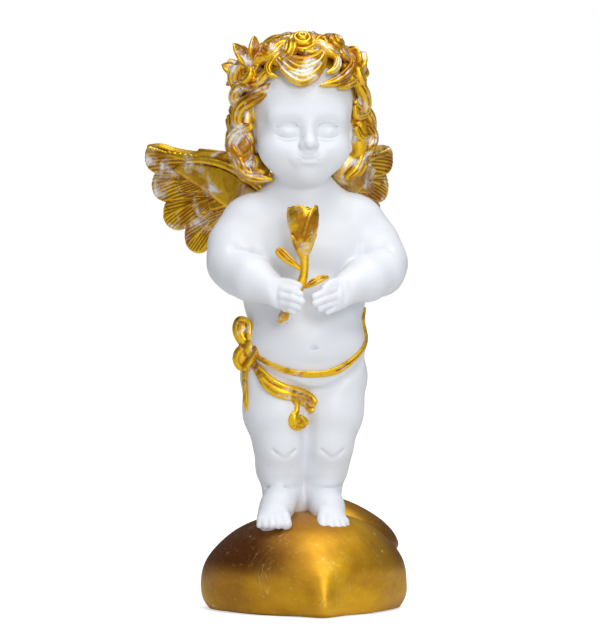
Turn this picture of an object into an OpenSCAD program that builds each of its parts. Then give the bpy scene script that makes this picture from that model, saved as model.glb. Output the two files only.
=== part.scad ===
// Resin angel figurine on a heart base. Front faces -Y, the figure's left side is +X.
// Origin: centre of the felt pad's underside. Millimetres.

/* [Base] */
// Half width of the heart base
base_half_w = 45.8; // [35:1:60]
// Heart tip in front of the centre
base_tip = 45; // [35:1:60]
// Lobe radius of the heart outline
lobe_r = 25; // [18:1:34]
// Height of the widest line
rim_z = 9; // [6:0.5:14]
// Height of the dome top
base_top = 43; // [30:1:60]
// Felt pad thickness
felt_t = 2; // [1:0.5:4]
// Depth of the pad's recess
recess_d = 1.5; // [0.5:0.5:3]
// Scale of the rear heart
rear_scale = 0.53; // [0.3:0.01:0.7]

/* [Legs] */
// Middle of the legs from the origin
leg_x = -1.2; // [-4:0.1:4]
// Ankle centre from the middle
ankle_dx = 8.5; // [6:0.5:12]
// Ankle radius
ankle_r = 6.9; // [6:0.1:10]
// Calf radius
calf_r = 9.1; // [8:0.1:13]
// Knee radius
knee_r = 10.3; // [8:0.1:14]
// Thigh radius
thigh_r = 14.6; // [11:0.2:18]
// Steel dowel radius
dowel_r = 2; // [1:0.5:3]
// Steel dowel length
dowel_l = 30; // [20:1:44]

/* [Trunk] */
// Half width at the hips
hip_w = 27; // [22:1:34]
// Half width of the belly
belly_w = 27; // [22:1:34]
// Half width of the chest
chest_w = 26; // [20:1:32]
// Half width across the shoulder line
shoulder_w = 24; // [18:1:30]
// Neck radius
neck_r = 12.5; // [9:0.5:16]

/* [Arms] */
// Elbow centre from the middle
elbow_dx = 33; // [28:0.5:40]
// Elbow radius
elbow_r = 10.4; // [8:0.2:13]
// Wrist radius
wrist_r = 6.6; // [5:0.2:9]
// Finger radius
finger_r = 2.2; // [1.6:0.1:3]

/* [Head] */
// Half width of the skull
skull_w = 21.5; // [18:0.5:26]
// Half depth of the skull
skull_d = 24; // [20:0.5:28]
// Half height of the skull
skull_h = 25; // [20:0.5:30]
// Radius of a hair curl
curl_r = 4.2; // [3:0.2:6]

/* [Wings] */
// Wing span from root to tip
wing_span = 82; // [50:1:90]
// Sweep of the wing behind the shoulder line
wing_sweep = 52; // [30:1:70]
// Wing blade thickness
wing_t = 3.4; // [2:0.2:6]
// Wing peg radius
peg_r = 2; // [1.5:0.5:3]

/* [Rose and sash] */
// Bloom radius
bloom_r = 6.7; // [5:0.1:9]
// Stem radius
stem_r = 1.9; // [1.4:0.1:3]
// Sash band height
band_h = 3; // [2:0.2:6]

/* [Hidden] */
resin_white = [0.93, 0.94, 0.96];
resin_gold = [0.72, 0.52, 0.1];
felt_black = [0.08, 0.08, 0.09];
steel = [0.7, 0.71, 0.73];
lobe_x = base_half_w - lobe_r;
lobe_y = 12;
outline_n = 34;
dome_levels = 8;
puff = 0.42;
pin_gap = 0.15;
sole_z = 41;
base_turn = -1.5;
base_shift = 1.2;
right_toes = [-16.8, -19, 38.2];
left_toes = [8.3, -19, 37.2];
head_mid = [-1.5, 0, 219];
chest_y = 0;
hand_z = 136;

// ---- helpers ----
module egg(p, r, n = 18) { translate(p) scale(r) sphere(1, $fn = n); }

module bone(a, ra, b, rb, n = 12)
    hull() { translate(a) sphere(ra, $fn = n); translate(b) sphere(rb, $fn = n); }

// A run of balls, each [x, y, z, r], joined two by two.
module limb(p, n = 12)
    for (i = [0 : len(p) - 2])
        bone([p[i].x, p[i].y, p[i].z], p[i][3], [p[i + 1].x, p[i + 1].y, p[i + 1].z],
            p[i + 1][3], n);

// A curl: balls along a spiral of so many turns in the plane facing `dir`.
module curl(p, az, el, r, turns = 0.8, thick = 0.42, n = 7, steps = 3)
    translate(p) rotate([0, 0, az]) rotate([el, 0, 0])
        limb([for (k = [0 : steps]) let (a = 360 * turns * k / 3, q = r * (1 - 0.2 * k))
            [q * cos(a) * 0.62, -0.6 * k, q * sin(a) * 0.62, r * thick * (1 - 0.1 * k)]], n);

// ---- heart base ----
function heart_pt(a) = // outline point in the direction a from the front tip
    let (d = [sin(a), -cos(a)], c = [(a < 180 ? 1 : -1) * lobe_x, lobe_y],
        b = d * c, disc = b * b - c * c + lobe_r * lobe_r,
        on_lobe = disc > 0 ? b + sqrt(disc) : 0,
        g = asin(lobe_r / norm(c - [0, -base_tip])),
        t = abs(atan2(c.x, c.y + base_tip)) + g,
        aa = min(a, 360 - a),
        on_side = base_tip * sin(t) / sin(180 - t - aa + 0.001),
        flat = aa > 150 || on_lobe > 0 && lobe_tangent(aa, t) ? on_lobe : on_side,
        w = puff * fade(min(1, (aa + 6) / 62)) * fade(max(0, min(1, (140 - aa) / 40))))
    aa < 0.1 ? [0, -base_tip] : d * (flat * (1 - w) + base_tip * w);
function lobe_tangent(aa, t) = // past the point where the straight side meets the lobe
    aa > atan2(lobe_x + lobe_r * cos(t), -(lobe_y - lobe_r * sin(t)));
function fade(s) = s * s * (3 - 2 * s);
function dome_ring(s, z, k) =
    [for (i = [0 : outline_n - 1]) let (a = 360 * i / outline_n, h = heart_pt(a),
        round_r = base_half_w * 0.95, m = fade(max(0, min(1, (s - 0.3) / 0.7))),
        r = norm(h) * m + round_r * (1 - m), u = [sin(a), -cos(a)], aa = min(a, 360 - a),
        rise = 4.4 * pow(sin(min(aa * 1.6, 180)), 2) - 4.6 * exp(-pow(aa / 20, 2)),
        lift = rise * max(0, 1 - abs(z - rim_z) / rim_z))
        [k * s * r * u.x, k * s * r * u.y, k * (z + lift)]];

module heart_dome(k = 1) {
    low = [for (i = [0 : 2]) let (z = rim_z * i / 3 + 0.5 * (3 - i) / 3)
        dome_ring(1 - 0.075 * pow(1 - z / rim_z, 2), z, k)];
    high = [for (i = [0 : dome_levels - 1]) let (e = 90 * i / dome_levels)
        dome_ring(cos(e), rim_z + (base_top - rim_z) * sin(e), k)];
    rings = concat(low, high);
    pts = concat([for (r = rings) each r], [[0, 0, k * base_top]]);
    n = outline_n;
    polyhedron(pts, concat([[for (i = [0 : n - 1]) i]],
        [for (j = [0 : len(rings) - 2], i = [0 : n - 1]) each
            let (a = j * n + i, b = j * n + (i + 1) % n)
            [[a, a + n, b + n], [a, b + n, b]]],
        [for (i = [0 : n - 1]) let (j = (len(rings) - 1) * n)
            [j + i, len(pts) - 1, j + (i + 1) % n]]), convexity = 4);
}

module heart_plan(inset) scale(1 - inset / base_half_w)
    polygon([for (i = [0 : outline_n - 1]) heart_pt(360 * i / outline_n)]);

// The base stands a little turned and moved under the figure.
module seat() translate([base_shift, 0, 0]) rotate([0, 0, base_turn]) children();

module felt_pad() color(felt_black) seat() linear_extrude(felt_t) heart_plan(8);

module heart_base() color(resin_gold) difference() {
    seat() heart_dome();
    seat() translate([0, 0, -1]) linear_extrude(1 + felt_t) heart_plan(7.85);
    leg_solids(12);
    for (s = [-1, 1]) ankle_pin(s, pin_gap);
}

module rear_heart() color(resin_gold) difference() {
    translate([25, 24.5, 31]) rotate([10, 27, 10]) scale([1, 1, 0.55]) heart_dome(rear_scale);
    seat() heart_dome();
    leg_solids(12);
}

module ankle_pin(s, gap = 0)
    translate([s * ankle_dx + leg_x, 2, base_top + 6 - dowel_l - gap])
        cylinder(r = dowel_r + gap, h = dowel_l + 2 * gap, $fn = 24);

module right_ankle_pin() color(steel) ankle_pin(-1);
module left_ankle_pin() color(steel) ankle_pin(1);

// ---- body ----
module leg(s, toes, n) {
    x = s * ankle_dx + leg_x;
    limb([[s * 12.4 - 0.5, -1, 97, thigh_r], [s * 12.4 + leg_x, -2, 86, thigh_r - 0.4],
        [s * 10.4 + leg_x, -2, 72, knee_r], [s * 9.6 + leg_x, 0, 62, calf_r], [x, 1, 52, ankle_r]], n);
    heel = [x, 4, sole_z + 4.6];
    ball_side = [0, 0, 1.5];
    hull() {
        translate([x, 1, 51]) sphere(ankle_r - 0.4, $fn = n);
        translate(heel) sphere(7, $fn = n);
        translate(toes + [s * 3, 5, 2.4]) sphere(3.4, $fn = n);
        translate(toes + [-s * 3, 4, 2.8]) sphere(3.8, $fn = n);
    }
    for (i = [0 : 4]) let (w = 2.8 - 0.24 * i, dx = s * (-4.4 + 2.4 * i), dy = 0.35 * i * i)
        bone(toes + ball_side + [dx * 0.95, 2.5, 0.8], w,
            toes + [dx, -1.6 + dy * 0.6, 0.4 - 0.1 * i], w * 0.96, 8);
}

module leg_solids(n = 10) { leg(-1, right_toes, n); leg(1, left_toes, n); }

module trunk() {
    hips = [hip_w, 19.5, 13];
    ribs = [26.4, 18.5, 14];
    hull() { egg([-0.5, 0, 103], hips); egg([-0.5, -3, 115], [belly_w, 21.5, 13]); }
    hull() { egg([-0.5, -3, 116], [belly_w, 21.5, 13]); egg([-0.5, -1.5, 132], ribs); }
    hull() {
        egg([-0.5, -1.5, 132], ribs);
        egg([-0.5, chest_y, 154], [chest_w, 17, 14]);
        egg([-0.5, 1, 164], [shoulder_w, 14.5, 13]);
    }
    hull() {
        for (s = [-1, 1]) egg([s * (shoulder_w - 3) - 0.5, 1, 168], [9, 11, 9], 14);
        egg([-1, 1, 178], [neck_r + 2, neck_r, 6], 16);
    }
    translate([-1, 1, 176]) cylinder(r = neck_r - 1, h = 14, $fn = 24);
}

module body_solid() { trunk(); leg_solids(); }

module figure_body() color(resin_white) difference() {
    body_solid();
    for (s = [-1, 1]) {
        ankle_pin(s, pin_gap);
        wing_peg(s, pin_gap);
    }
}

// ---- arms ----
module hand(s) {
    tip = s < 0 ? [-7.2, -33, hand_z - 0.6] : [-2.8, -33, hand_z - 0.6];
    wrist = [s < 0 ? -19 : 12, -26.5, hand_z + 3.5];
    palm = [(tip.x + wrist.x) / 2, -30.5, hand_z + 1.5];
    hull() {
        translate(wrist) sphere(wrist_r - 0.4, $fn = 12);
        translate(palm + [0, 1, 1.6]) sphere(5, $fn = 12);
        translate(palm + [s * 1.5, 1.5, -3]) sphere(4, $fn = 12);
    }
    for (i = [0 : 3]) let (z = hand_z + 3.2 - 2.9 * i, back = 0.9 * i * i / 2)
        limb([[palm.x + s * 0.5, -31.8 + 0.5 * i, z + 0.6, finger_r + 0.3],
            [tip.x + s * (1 + back), -34 + 0.6 * i, z - 0.6, finger_r]], 8);
    bone(palm + [s * 2, -1.5, 5], 2.7, [tip.x + s * 3, -33.5, hand_z + 6.6], 2.2, 8);
}

module arm_solid(s) {
    limb([[s * 23.5 - 0.5, 2, 166, 12], [s * 29.5, -0.5, 159, 11.6],
        [s * elbow_dx, -4.5, 150.5, elbow_r + 0.4], [s * 31, -10, 147.5, elbow_r - 0.4],
        [s < 0 ? -26 : 22, -18.5, 143.6, 8.8], [s < 0 ? -19 : 12, -26.5, hand_z + 3.5, wrist_r]], 12);
    hand(s);
}

module right_arm() color(resin_white) difference() {
    arm_solid(-1);
    body_solid();
    stem_solid();
}

module left_arm() color(resin_white) difference() {
    arm_solid(1);
    arm_solid(-1);
    body_solid();
    stem_solid();
}

// ---- head ----
module head_solid() {
    egg(head_mid, [skull_w, skull_d, skull_h], 24);
    hull() {
        egg([-1.8, -3, 212], [skull_w - 1.2, 20.5, 13], 18);
        for (s = [-1, 1]) egg([s * 9 - 2.3, -10.5, 200], [11.4, 11, 9.5], 14);
        egg([-2.8, -11.5, 191.5], [12, 10, 8.5], 14);
    }
    for (s = [-1, 1]) {
        egg([s * 7.6 - 3, -19.6, 205.5], [4.2, 3.4, 2.2], 10);
        hull() {
            egg([s * 20.5 - 1.5, 2, 205], [3, 3.5, 6.5], 10);
            egg([s * 18.5 - 1.5, 0, 203], [3, 4, 5], 10);
        }
    }
    bone([-3, -22, 207], 1.6, [-3.4, -24.6, 201], 2.3, 10);
    egg([-3.2, -21.4, 194.6], [5, 2.4, 2], 10);
}

module head() color(resin_white) difference() { head_solid(); body_solid(); }

// ---- hair ----
module crown_solid() {
    difference() {
        egg(head_mid + [-0.5, 2, 2], [skull_w + 3.4, skull_d + 1.5, skull_h + 0.8], 14);
        translate([-60, -60, 150]) cube([120, 60 - 7, 84]);
        translate([-60, -60, 150]) cube([120, 120, 56]);
    }
    for (i = [0 : 8]) let (a = 212 + 40 * i, back = max(0, sin(a)))
        curl(head_mid + [24 * cos(a) - 1.5, 19 * sin(a) + 1, 18.5 - 7 * back],
            a + 90, 15, curl_r * 2, 0.8, 0.6, 5, 2);
    for (i = [0 : 2]) let (a = 120 * i + 40)
        curl(head_mid + [11.5 * cos(a), 10.5 * sin(a) + 3, 24.8], a + 90, 60, curl_r * 2, 0.8, 0.55, 5, 2);
}

module forelock_solid() for (i = [0 : 2])
    limb([[5 - 0.3 * i, -18.5, 241 - 0.6 * i, 2.2], [2 - 0.3 * i, -21.5, 237.4 - 2 * i, 2.6],
        [-6 - 0.6 * i, -22.8 - 0.6 * i, 235 - 3.6 * i, 3], [-13 - 1.4 * i, -19.6, 238 - 1.8 * i, 2]], 7);

module lock_solid() {
    limb([[17.5, -12.5, 236, 2.4], [15.5, -16, 231.6, 3], [2.5, -23.5, 226, 2]], 8);
    limb([[4, -20, 239, 2.2], [9, -19.5, 235, 2.4], [14.5, -16.5, 233, 2.4]], 8);
}

module side_curls(s) {
    curl([s * 24.5 - 2.5, -2, 222], s < 0 ? -100 : 100, 0, curl_r * 1.5);
    curl([s * 27 - 3, 1, 212], s < 0 ? -110 : 110, 10, curl_r * 1.6);
    curl([s * 28 - 2, 3, 203], s < 0 ? -80 : 80, 0, curl_r * 1.4);
    curl([s * 25 - 2, 4, 195], s < 0 ? -100 : 100, 0, curl_r * 1.3);
    limb([[s * 26 - 2, 0, 226, 3], [s * 25 - 2, 2, 214, 3.4], [s * 26 - 2, 4, 202, 3.2],
        [s * 22.5 - 2, 4, 192, 2.8], [s * 17 - 2, 3, 187, 2]], 8);
}

module nape_solid() {
    for (i = [0 : 3]) for (j = [0 : 1])
        curl([-19.5 + 11 * i + 3 * j, 20 - abs(1.5 - i) * 2.5, 208 - 11 * j], 180, -10,
            curl_r * 1.6, 0.8, 0.5, 5);
    hull() {
        egg([-1.5, 12, 208], [21, 12, 14], 12);
        egg([-1.5, 12, 196], [17, 9, 8], 12);
    }
}

module crown_curls() color(resin_gold) difference() {
    crown_solid();
    head_solid();
    sprig_solid(-1);
    sprig_solid(1);
    rose_trio();
}

module forelock() color(resin_gold) difference() {
    union() { forelock_solid(); lock_solid(); }
    head_solid();
    crown_solid();
    sprig_solid(-1);
    sprig_solid(1);
    rose_trio();
}

module right_side_curls() color(resin_gold) difference() {
    side_curls(-1);
    head_solid();
    crown_solid();
    sprig_solid(-1);
    sprig_solid(1);
    trunk();
}

module left_side_curls() color(resin_gold) difference() {
    side_curls(1);
    head_solid();
    crown_solid();
    sprig_solid(-1);
    sprig_solid(1);
    trunk();
}

module nape_curls() color(resin_gold) difference() {
    nape_solid();
    head_solid();
    crown_solid();
    side_curls(-1);
    side_curls(1);
    trunk();
}

// A small rose: a ball with a ring of petals.
module small_rose(p, r) translate(p) {
    sphere(r * 0.66, $fn = 8);
    for (i = [0 : 3]) rotate([0, 0, 90 * i + 7]) translate([r * 0.52, 0.3, -0.21 * r])
        rotate([3, -24, 5]) scale([0.5, 0.66, 0.62]) sphere(r, $fn = 8);
}

module right_rose_solid() { small_rose([-16.5, -11, 241], 6); }
module middle_rose_solid() { small_rose([-4, -14, 244.8], 6.2); }
module left_rose_solid() { small_rose([9.5, -13, 244.2], 6); }
module rose_trio() { right_rose_solid(); middle_rose_solid(); left_rose_solid(); }

module leaf(p, az, el, len, wide) translate(p) rotate([0, 0, az]) rotate([0, -el, 0])
    hull() {
        sphere(1.3, $fn = 6);
        translate([len * 0.45, 0, 0]) scale([1.6, wide / 2, 1]) sphere(1, $fn = 8);
        translate([len, 0, 0]) sphere(0.5, $fn = 5);
    }

// A sprig of three leaves on a short twig, at the right or left end of the roses.
module sprig_solid(s) {
    x = s < 0 ? -25 : 20;
    limb([[x - s * 5, -11, 239, 1.8], [x, -5, 236.5, 1.8], [x + s * 2.5, 4, 233, 1.5]], 6);
    for (i = [0 : 2]) leaf([x + s * (0.5 + i), -6 + 4 * i, 236.5 - 1.6 * i],
        (s < 0 ? 160 + 10 * i : 10 + 15 * i), 42 - 16 * i, s < 0 ? 12 : 9, 6);
}

module right_sprig() color(resin_gold) difference() {
    sprig_solid(-1);
    rose_trio();
    head_solid();
}

module left_sprig() color(resin_gold) difference() {
    sprig_solid(1);
    rose_trio();
    head_solid();
}

module right_rose() color(resin_gold) difference() { right_rose_solid(); head_solid(); }
module middle_rose() color(resin_gold) difference() { middle_rose_solid(); head_solid(); }
module left_rose() color(resin_gold) difference() { left_rose_solid(); head_solid(); }

// ---- wings, drawn in the XZ plane of the wing, root at x = 0 ----
module feather(x, z, dir, len, wide, t) translate([x, 0, z]) rotate([0, -dir, 0])
    hull() {
        translate([0, 0, 0]) rotate([90, 0, 0]) cylinder(r = wide * 0.36, h = t, center = true, $fn = 8);
        translate([len * 0.8, 0, 0]) rotate([90, 0, 0])
            cylinder(r = wide * 0.5, h = t * 0.8, center = true, $fn = 10);
    }

module wing_flat() {
    // panel next to the body
    hull() {
        translate([2, 0, 3]) rotate([90, 0, 0]) cylinder(r = 9, h = wing_t, center = true, $fn = 12);
        translate([30, 0, 11]) rotate([90, 0, 0]) cylinder(r = 11, h = wing_t, center = true, $fn = 14);
        translate([46, 0, 15]) rotate([90, 0, 0]) cylinder(r = 8, h = wing_t, center = true, $fn = 12);
        translate([20, 0, -12]) rotate([90, 0, 0]) cylinder(r = 8, h = wing_t, center = true, $fn = 12);
    }
    // thick leading edge
    limb([[-4, 0, 5, 3.6], [14, 0, 17.5, 3.3], [30, 0, 22, 3], [54, 0, 25, 2.8],
        [wing_span - 5, 0, 29, 2.4]], 10);
    // long feathers, fanned from the tip down to the root
    for (i = [0 : 6]) feather(38 - 4.4 * i, 18 - 3.9 * i, 13 - 14.6 * i - 0.15 * i * i,
        min(wing_span - 39, wing_span - 30 - 5 * i), 17.5 - 0.9 * i, wing_t - 0.13 * i);
    // short feathers over them
    for (i = [0 : 3]) feather(34 - 5.5 * i, 13 - 5 * i, 1 - 15 * i, 25 - 1.6 * i, 11, wing_t + 1.6);
}

// The left wing is swept back a little further.
module wing_solid(s) translate([s * 7, 13, 172]) scale([s, 1, 1])
    rotate([0, 0, wing_sweep + 1.5 + 1.5 * s]) wing_flat();

module wing_peg(s, gap = 0)
    translate([s * 7, 13, 176]) rotate([0, 0, s * (wing_sweep + 1.5 + 1.5 * s)]) rotate([0, s * 90, 0])
        translate([0, 0, -6 - gap]) cylinder(r = peg_r + gap, h = 16 + 2 * gap, $fn = 24);

module right_wing() color(resin_gold) difference() {
    wing_solid(-1);
    body_solid();
    wing_peg(-1, pin_gap);
}

module left_wing() color(resin_gold) difference() {
    wing_solid(1);
    wing_solid(-1);
    body_solid();
    wing_peg(1, pin_gap);
}

module right_wing_peg() color(steel) wing_peg(-1);
module left_wing_peg() color(steel) wing_peg(1);

// ---- rose ----
rose_x = -7.5;
rose_y = -31;

module bloom_solid() translate([rose_x + 0.5, rose_y, 153]) {
    difference() {
        rotate_extrude($fn = 12) polygon([[0, 0], [2.4, 0], [4.4, 4.5], [bloom_r, 12],
            [bloom_r - 0.8, 22], [0, 22]]);
        translate([0, 0, 15]) cylinder(r1 = 2, r2 = bloom_r - 2, h = 8, $fn = 12);
    }
    translate([0, 0, 14]) cylinder(r1 = 2.2, r2 = 2.8, h = 7, $fn = 8);
    for (i = [0 : 2]) rotate([0, 0, 120 * i + 20]) translate([4.2, 0, 3.6]) rotate([0, 20, 0])
        scale([0.5, 1, 1.4]) sphere(2.6, $fn = 5);
}

module stem_solid() limb([[rose_x + 0.5, rose_y, 155, stem_r + 0.3],
    [rose_x + 0.6, rose_y - 0.5, 148, stem_r], [rose_x - 1.2, rose_y, 141, stem_r],
    [rose_x - 4.5, rose_y + 2, 133, stem_r], [rose_x - 7, rose_y + 5, 124, stem_r - 0.2]], 12);

module upper_leaf_solid() limb([[rose_x - 1.5, rose_y + 0.5, 148.5, 1.2],
    [rose_x - 4.5, rose_y + 1, 151, 2], [rose_x - 8, rose_y + 1.5, 154.2, 2.2]], 8);

module lower_leaf_solid() limb([[rose_x + 1, rose_y - 1, 141.4, 1.4],
    [rose_x + 6, rose_y - 2, 143.6, 1.8], [rose_x + 10, rose_y - 1.2, 144.4, 1.2]], 8);

module rose_bloom() color(resin_gold) difference() { bloom_solid(); stem_solid(); }

module rose_stem() color(resin_gold) difference() { stem_solid(); body_solid(); }

module rose_upper_leaf() color(resin_gold) difference() {
    upper_leaf_solid();
    stem_solid();
    arm_solid(-1);
}

module rose_lower_leaf() color(resin_gold) difference() {
    lower_leaf_solid();
    stem_solid();
    arm_solid(-1);
    arm_solid(1);
}

// ---- sash ----
function band_z(a) = // height of the band in the direction a, counted from the front
    102.5 + 17 * min(1, pow(abs(sin(a / 2)) / 0.7071, 2.2)) + 9.5 * pow(max(0, sin(a)), 6);

module sash_solid() {
    n = 20;
    for (i = [0 : n - 1]) hull() for (k = [i, i + 1]) let (a = 360 * k / n)
        translate([27.4 * sin(a) - 0.5, -22.4 * cos(a) - 1.4 + 1.5 * sin(a) * sin(a), band_z(a)])
            scale([1.1, 1.1, band_h / 2]) sphere(1, $fn = 8);
}

module bow_solid() {
    knot = [-25, -8.5, 113];
    egg(knot, [3, 3, 3.6], 12);
    limb([[-26, -8, 114, 1.8], [-30, -6, 119, 2.4], [-30.5, -5, 125, 2], [-27.5, -5.5, 124, 1.6]], 8);
    limb([[-26, -8, 112, 1.8], [-30, -7, 110, 2.6], [-29.5, -7, 106, 2.2]], 8);
}

module front_tail_solid() {
    limb([[-24, -11.5, 110, 1.6], [-22.6, -15, 104, 2.2], [-18.6, -17.4, 98.6, 2.8],
        [-11, -19, 95, 3], [-4.5, -18.2, 93.6, 2.6], [0.8, -16.8, 89.6, 2.2]], 10);
    limb([[-6.4, -18, 92, 1.5], [-7.2, -17, 85.6, 1.6], [-6, -16.6, 82, 2.6]], 8);
}

module side_tail_solid() limb([[-27.5, -7, 108, 1.8], [-28.5, -5, 100, 1.7],
    [-28.2, -4, 92, 1.6], [-26.5, -3, 85, 1.2]], 8);

module sash_band() color(resin_gold) difference() { sash_solid(); body_solid(); }

module sash_bow() color(resin_gold) difference() { bow_solid(); sash_solid(); body_solid(); }

module sash_front_tail() color(resin_gold) difference() {
    front_tail_solid();
    bow_solid();
    sash_solid();
    body_solid();
}

module sash_side_tail() color(resin_gold) difference() {
    side_tail_solid();
    bow_solid();
    sash_solid();
    front_tail_solid();
    body_solid();
}

felt_pad();
heart_base();
rear_heart();
right_ankle_pin();
left_ankle_pin();
figure_body();
head();
right_arm();
left_arm();
crown_curls();
forelock();
right_side_curls();
left_side_curls();
nape_curls();
right_sprig();
left_sprig();
right_rose();
middle_rose();
left_rose();
right_wing();
left_wing();
right_wing_peg();
left_wing_peg();
rose_bloom();
rose_stem();
rose_upper_leaf();
rose_lower_leaf();
sash_band();
sash_bow();
sash_front_tail();
sash_side_tail();
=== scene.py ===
import math
import random

import bpy
import numpy as np
import openvdb as vdb
from bpy.props import FloatProperty, FloatVectorProperty, PointerProperty
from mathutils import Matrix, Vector


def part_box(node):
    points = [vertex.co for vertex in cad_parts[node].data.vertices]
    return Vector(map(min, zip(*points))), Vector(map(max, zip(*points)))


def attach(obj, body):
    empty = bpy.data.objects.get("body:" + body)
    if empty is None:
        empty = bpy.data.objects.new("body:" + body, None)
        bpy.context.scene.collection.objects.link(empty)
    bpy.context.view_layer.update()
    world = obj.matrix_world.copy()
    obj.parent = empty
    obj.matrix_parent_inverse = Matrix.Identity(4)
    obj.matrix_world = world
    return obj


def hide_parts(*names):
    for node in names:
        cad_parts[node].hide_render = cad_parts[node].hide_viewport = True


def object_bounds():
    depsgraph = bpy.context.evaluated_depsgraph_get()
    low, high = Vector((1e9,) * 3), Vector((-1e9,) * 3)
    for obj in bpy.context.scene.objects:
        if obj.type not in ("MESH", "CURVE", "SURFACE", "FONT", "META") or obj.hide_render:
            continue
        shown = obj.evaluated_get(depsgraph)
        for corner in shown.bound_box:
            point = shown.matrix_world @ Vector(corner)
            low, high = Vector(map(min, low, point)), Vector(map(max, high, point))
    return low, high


bl_info = {
    "name": "Resin angel figurine",
    "version": (1, 0, 0),
    "blender": (4, 5, 0),
    "location": "3D View > Sidebar > Angel",
    "description": "Sculpts a painted resin angel round its CAD frame",
    "category": "Object",
}

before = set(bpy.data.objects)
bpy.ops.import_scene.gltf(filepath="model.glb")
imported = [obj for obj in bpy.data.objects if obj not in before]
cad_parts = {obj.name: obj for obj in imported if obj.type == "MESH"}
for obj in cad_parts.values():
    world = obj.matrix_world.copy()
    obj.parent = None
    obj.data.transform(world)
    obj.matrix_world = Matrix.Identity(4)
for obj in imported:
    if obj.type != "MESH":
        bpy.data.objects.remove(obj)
CAD_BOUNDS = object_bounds()
MM = 0.001
FAR = 8.0  # distance written where no clay has been laid, mm
BLUR_PASSES = 3  # how far the surroundings reach when relief is measured
RELIEF_REACH = 4.0  # distances past this don't count as relief, mm


def box_mm(node):
    """Low and high corner of a CAD node in millimetres."""
    lo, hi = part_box(node)
    return np.array(lo) / MM, np.array(hi) / MM


# ------------------------------------------------------------------ clay
def fade(x):
    """0 to 1 with soft ends."""
    x = np.clip(x, 0.0, 1.0)
    return x * x * (3.0 - 2.0 * x)


def soft_min(a, b, k):
    """The smaller of two, rounded where they are within k."""
    if np.isscalar(k) and k <= 0:
        return np.minimum(a, b)
    h = np.maximum(k - np.abs(a - b), 0.0) / k
    return np.minimum(a, b) - h * h * k * 0.25


def soft_max(a, b, k):
    return -soft_min(-a, -b, k)


class Form:
    """A shape: a distance function and the box it lies in."""

    def __init__(self, lo, hi, far):
        self.lo, self.hi, self.far = np.asarray(lo, float), np.asarray(hi, float), far

    def __call__(self, p):
        return self.far(p)


def turn(axis, degrees):
    """Rotation matrix about X, Y or Z."""
    a = math.radians(degrees)
    c, s = math.cos(a), math.sin(a)
    i, j = {"X": (1, 2), "Y": (2, 0), "Z": (0, 1)}[axis]
    m = np.eye(3)
    m[i, i] = m[j, j] = c
    m[i, j], m[j, i] = -s, s
    return m


def egg(centre, radii, spin=None):
    c, r = np.asarray(centre, float), np.asarray(radii, float)
    big = r.max() if spin is not None else r

    def far(p):
        q = [p[i] - c[i] for i in range(3)]
        if spin is not None:
            q = [sum(spin[j, i] * q[j] for j in range(3)) for i in range(3)]
        k0 = np.sqrt(sum((q[i] / r[i]) ** 2 for i in range(3)))
        k1 = np.sqrt(sum((q[i] / r[i] ** 2) ** 2 for i in range(3)))
        return k0 * (k0 - 1.0) / np.maximum(k1, 1e-6)

    return Form(c - big, c + big, far)


def bone(a, ra, b, rb):
    """Two balls and the cone between them."""
    a, b = np.asarray(a, float), np.asarray(b, float)
    ba = b - a
    l2 = float(ba @ ba)
    rr = ra - rb
    a2 = l2 - rr * rr
    il2 = 1.0 / l2

    def far(p):
        q = [p[i] - a[i] for i in range(3)]
        y = q[0] * ba[0] + q[1] * ba[1] + q[2] * ba[2]
        z = y - l2
        x2 = sum((q[i] * l2 - ba[i] * y) ** 2 for i in range(3))
        y2, z2 = y * y * l2, z * z * l2
        k = np.sign(rr) * rr * rr * x2
        mid = (np.sqrt(x2 * a2 * il2) + y * rr) * il2 - ra
        out = np.where(np.sign(y) * a2 * y2 < k, np.sqrt(x2 + y2) * il2 - ra, mid)
        return np.where(np.sign(z) * a2 * z2 > k, np.sqrt(x2 + z2) * il2 - rb, out)

    lo = np.minimum(a - ra, b - rb)
    return Form(lo, np.maximum(a + ra, b + rb), far)


def smooth_path(points, steps=4):
    """Catmull-Rom curve through rows of numbers (place, then any radii)."""
    p = np.asarray(points, float)
    p = np.vstack([2 * p[0] - p[1], p, 2 * p[-1] - p[-2]])
    rows = []
    for i in range(1, len(p) - 2):
        for s in range(steps):
            t = s / steps
            rows.append(
                0.5
                * (
                    2 * p[i]
                    + (p[i + 1] - p[i - 1]) * t
                    + (2 * p[i - 1] - 5 * p[i] + 4 * p[i + 1] - p[i + 2]) * t * t
                    + (3 * p[i] - p[i - 1] - 3 * p[i + 1] + p[i + 2]) * t**3
                )
            )
    rows.append(p[-2])
    return np.array(rows)


def cord_form(points, steps=4):
    """A round rope of clay; each point is x, y, z, radius."""
    rows = smooth_path(points, steps)
    bones = [
        bone(u[:3], max(u[3], 0.15), v[:3], max(v[3], 0.15))
        for u, v in zip(rows[:-1], rows[1:])
        if np.linalg.norm(u[:3] - v[:3]) > 1e-3
    ]

    def far(p):
        out = bones[0](p)
        for b in bones[1:]:
            out = np.minimum(out, b(p))
        return out

    lo = np.min([b.lo for b in bones], axis=0)
    return Form(lo, np.max([b.hi for b in bones], axis=0), far)


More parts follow.
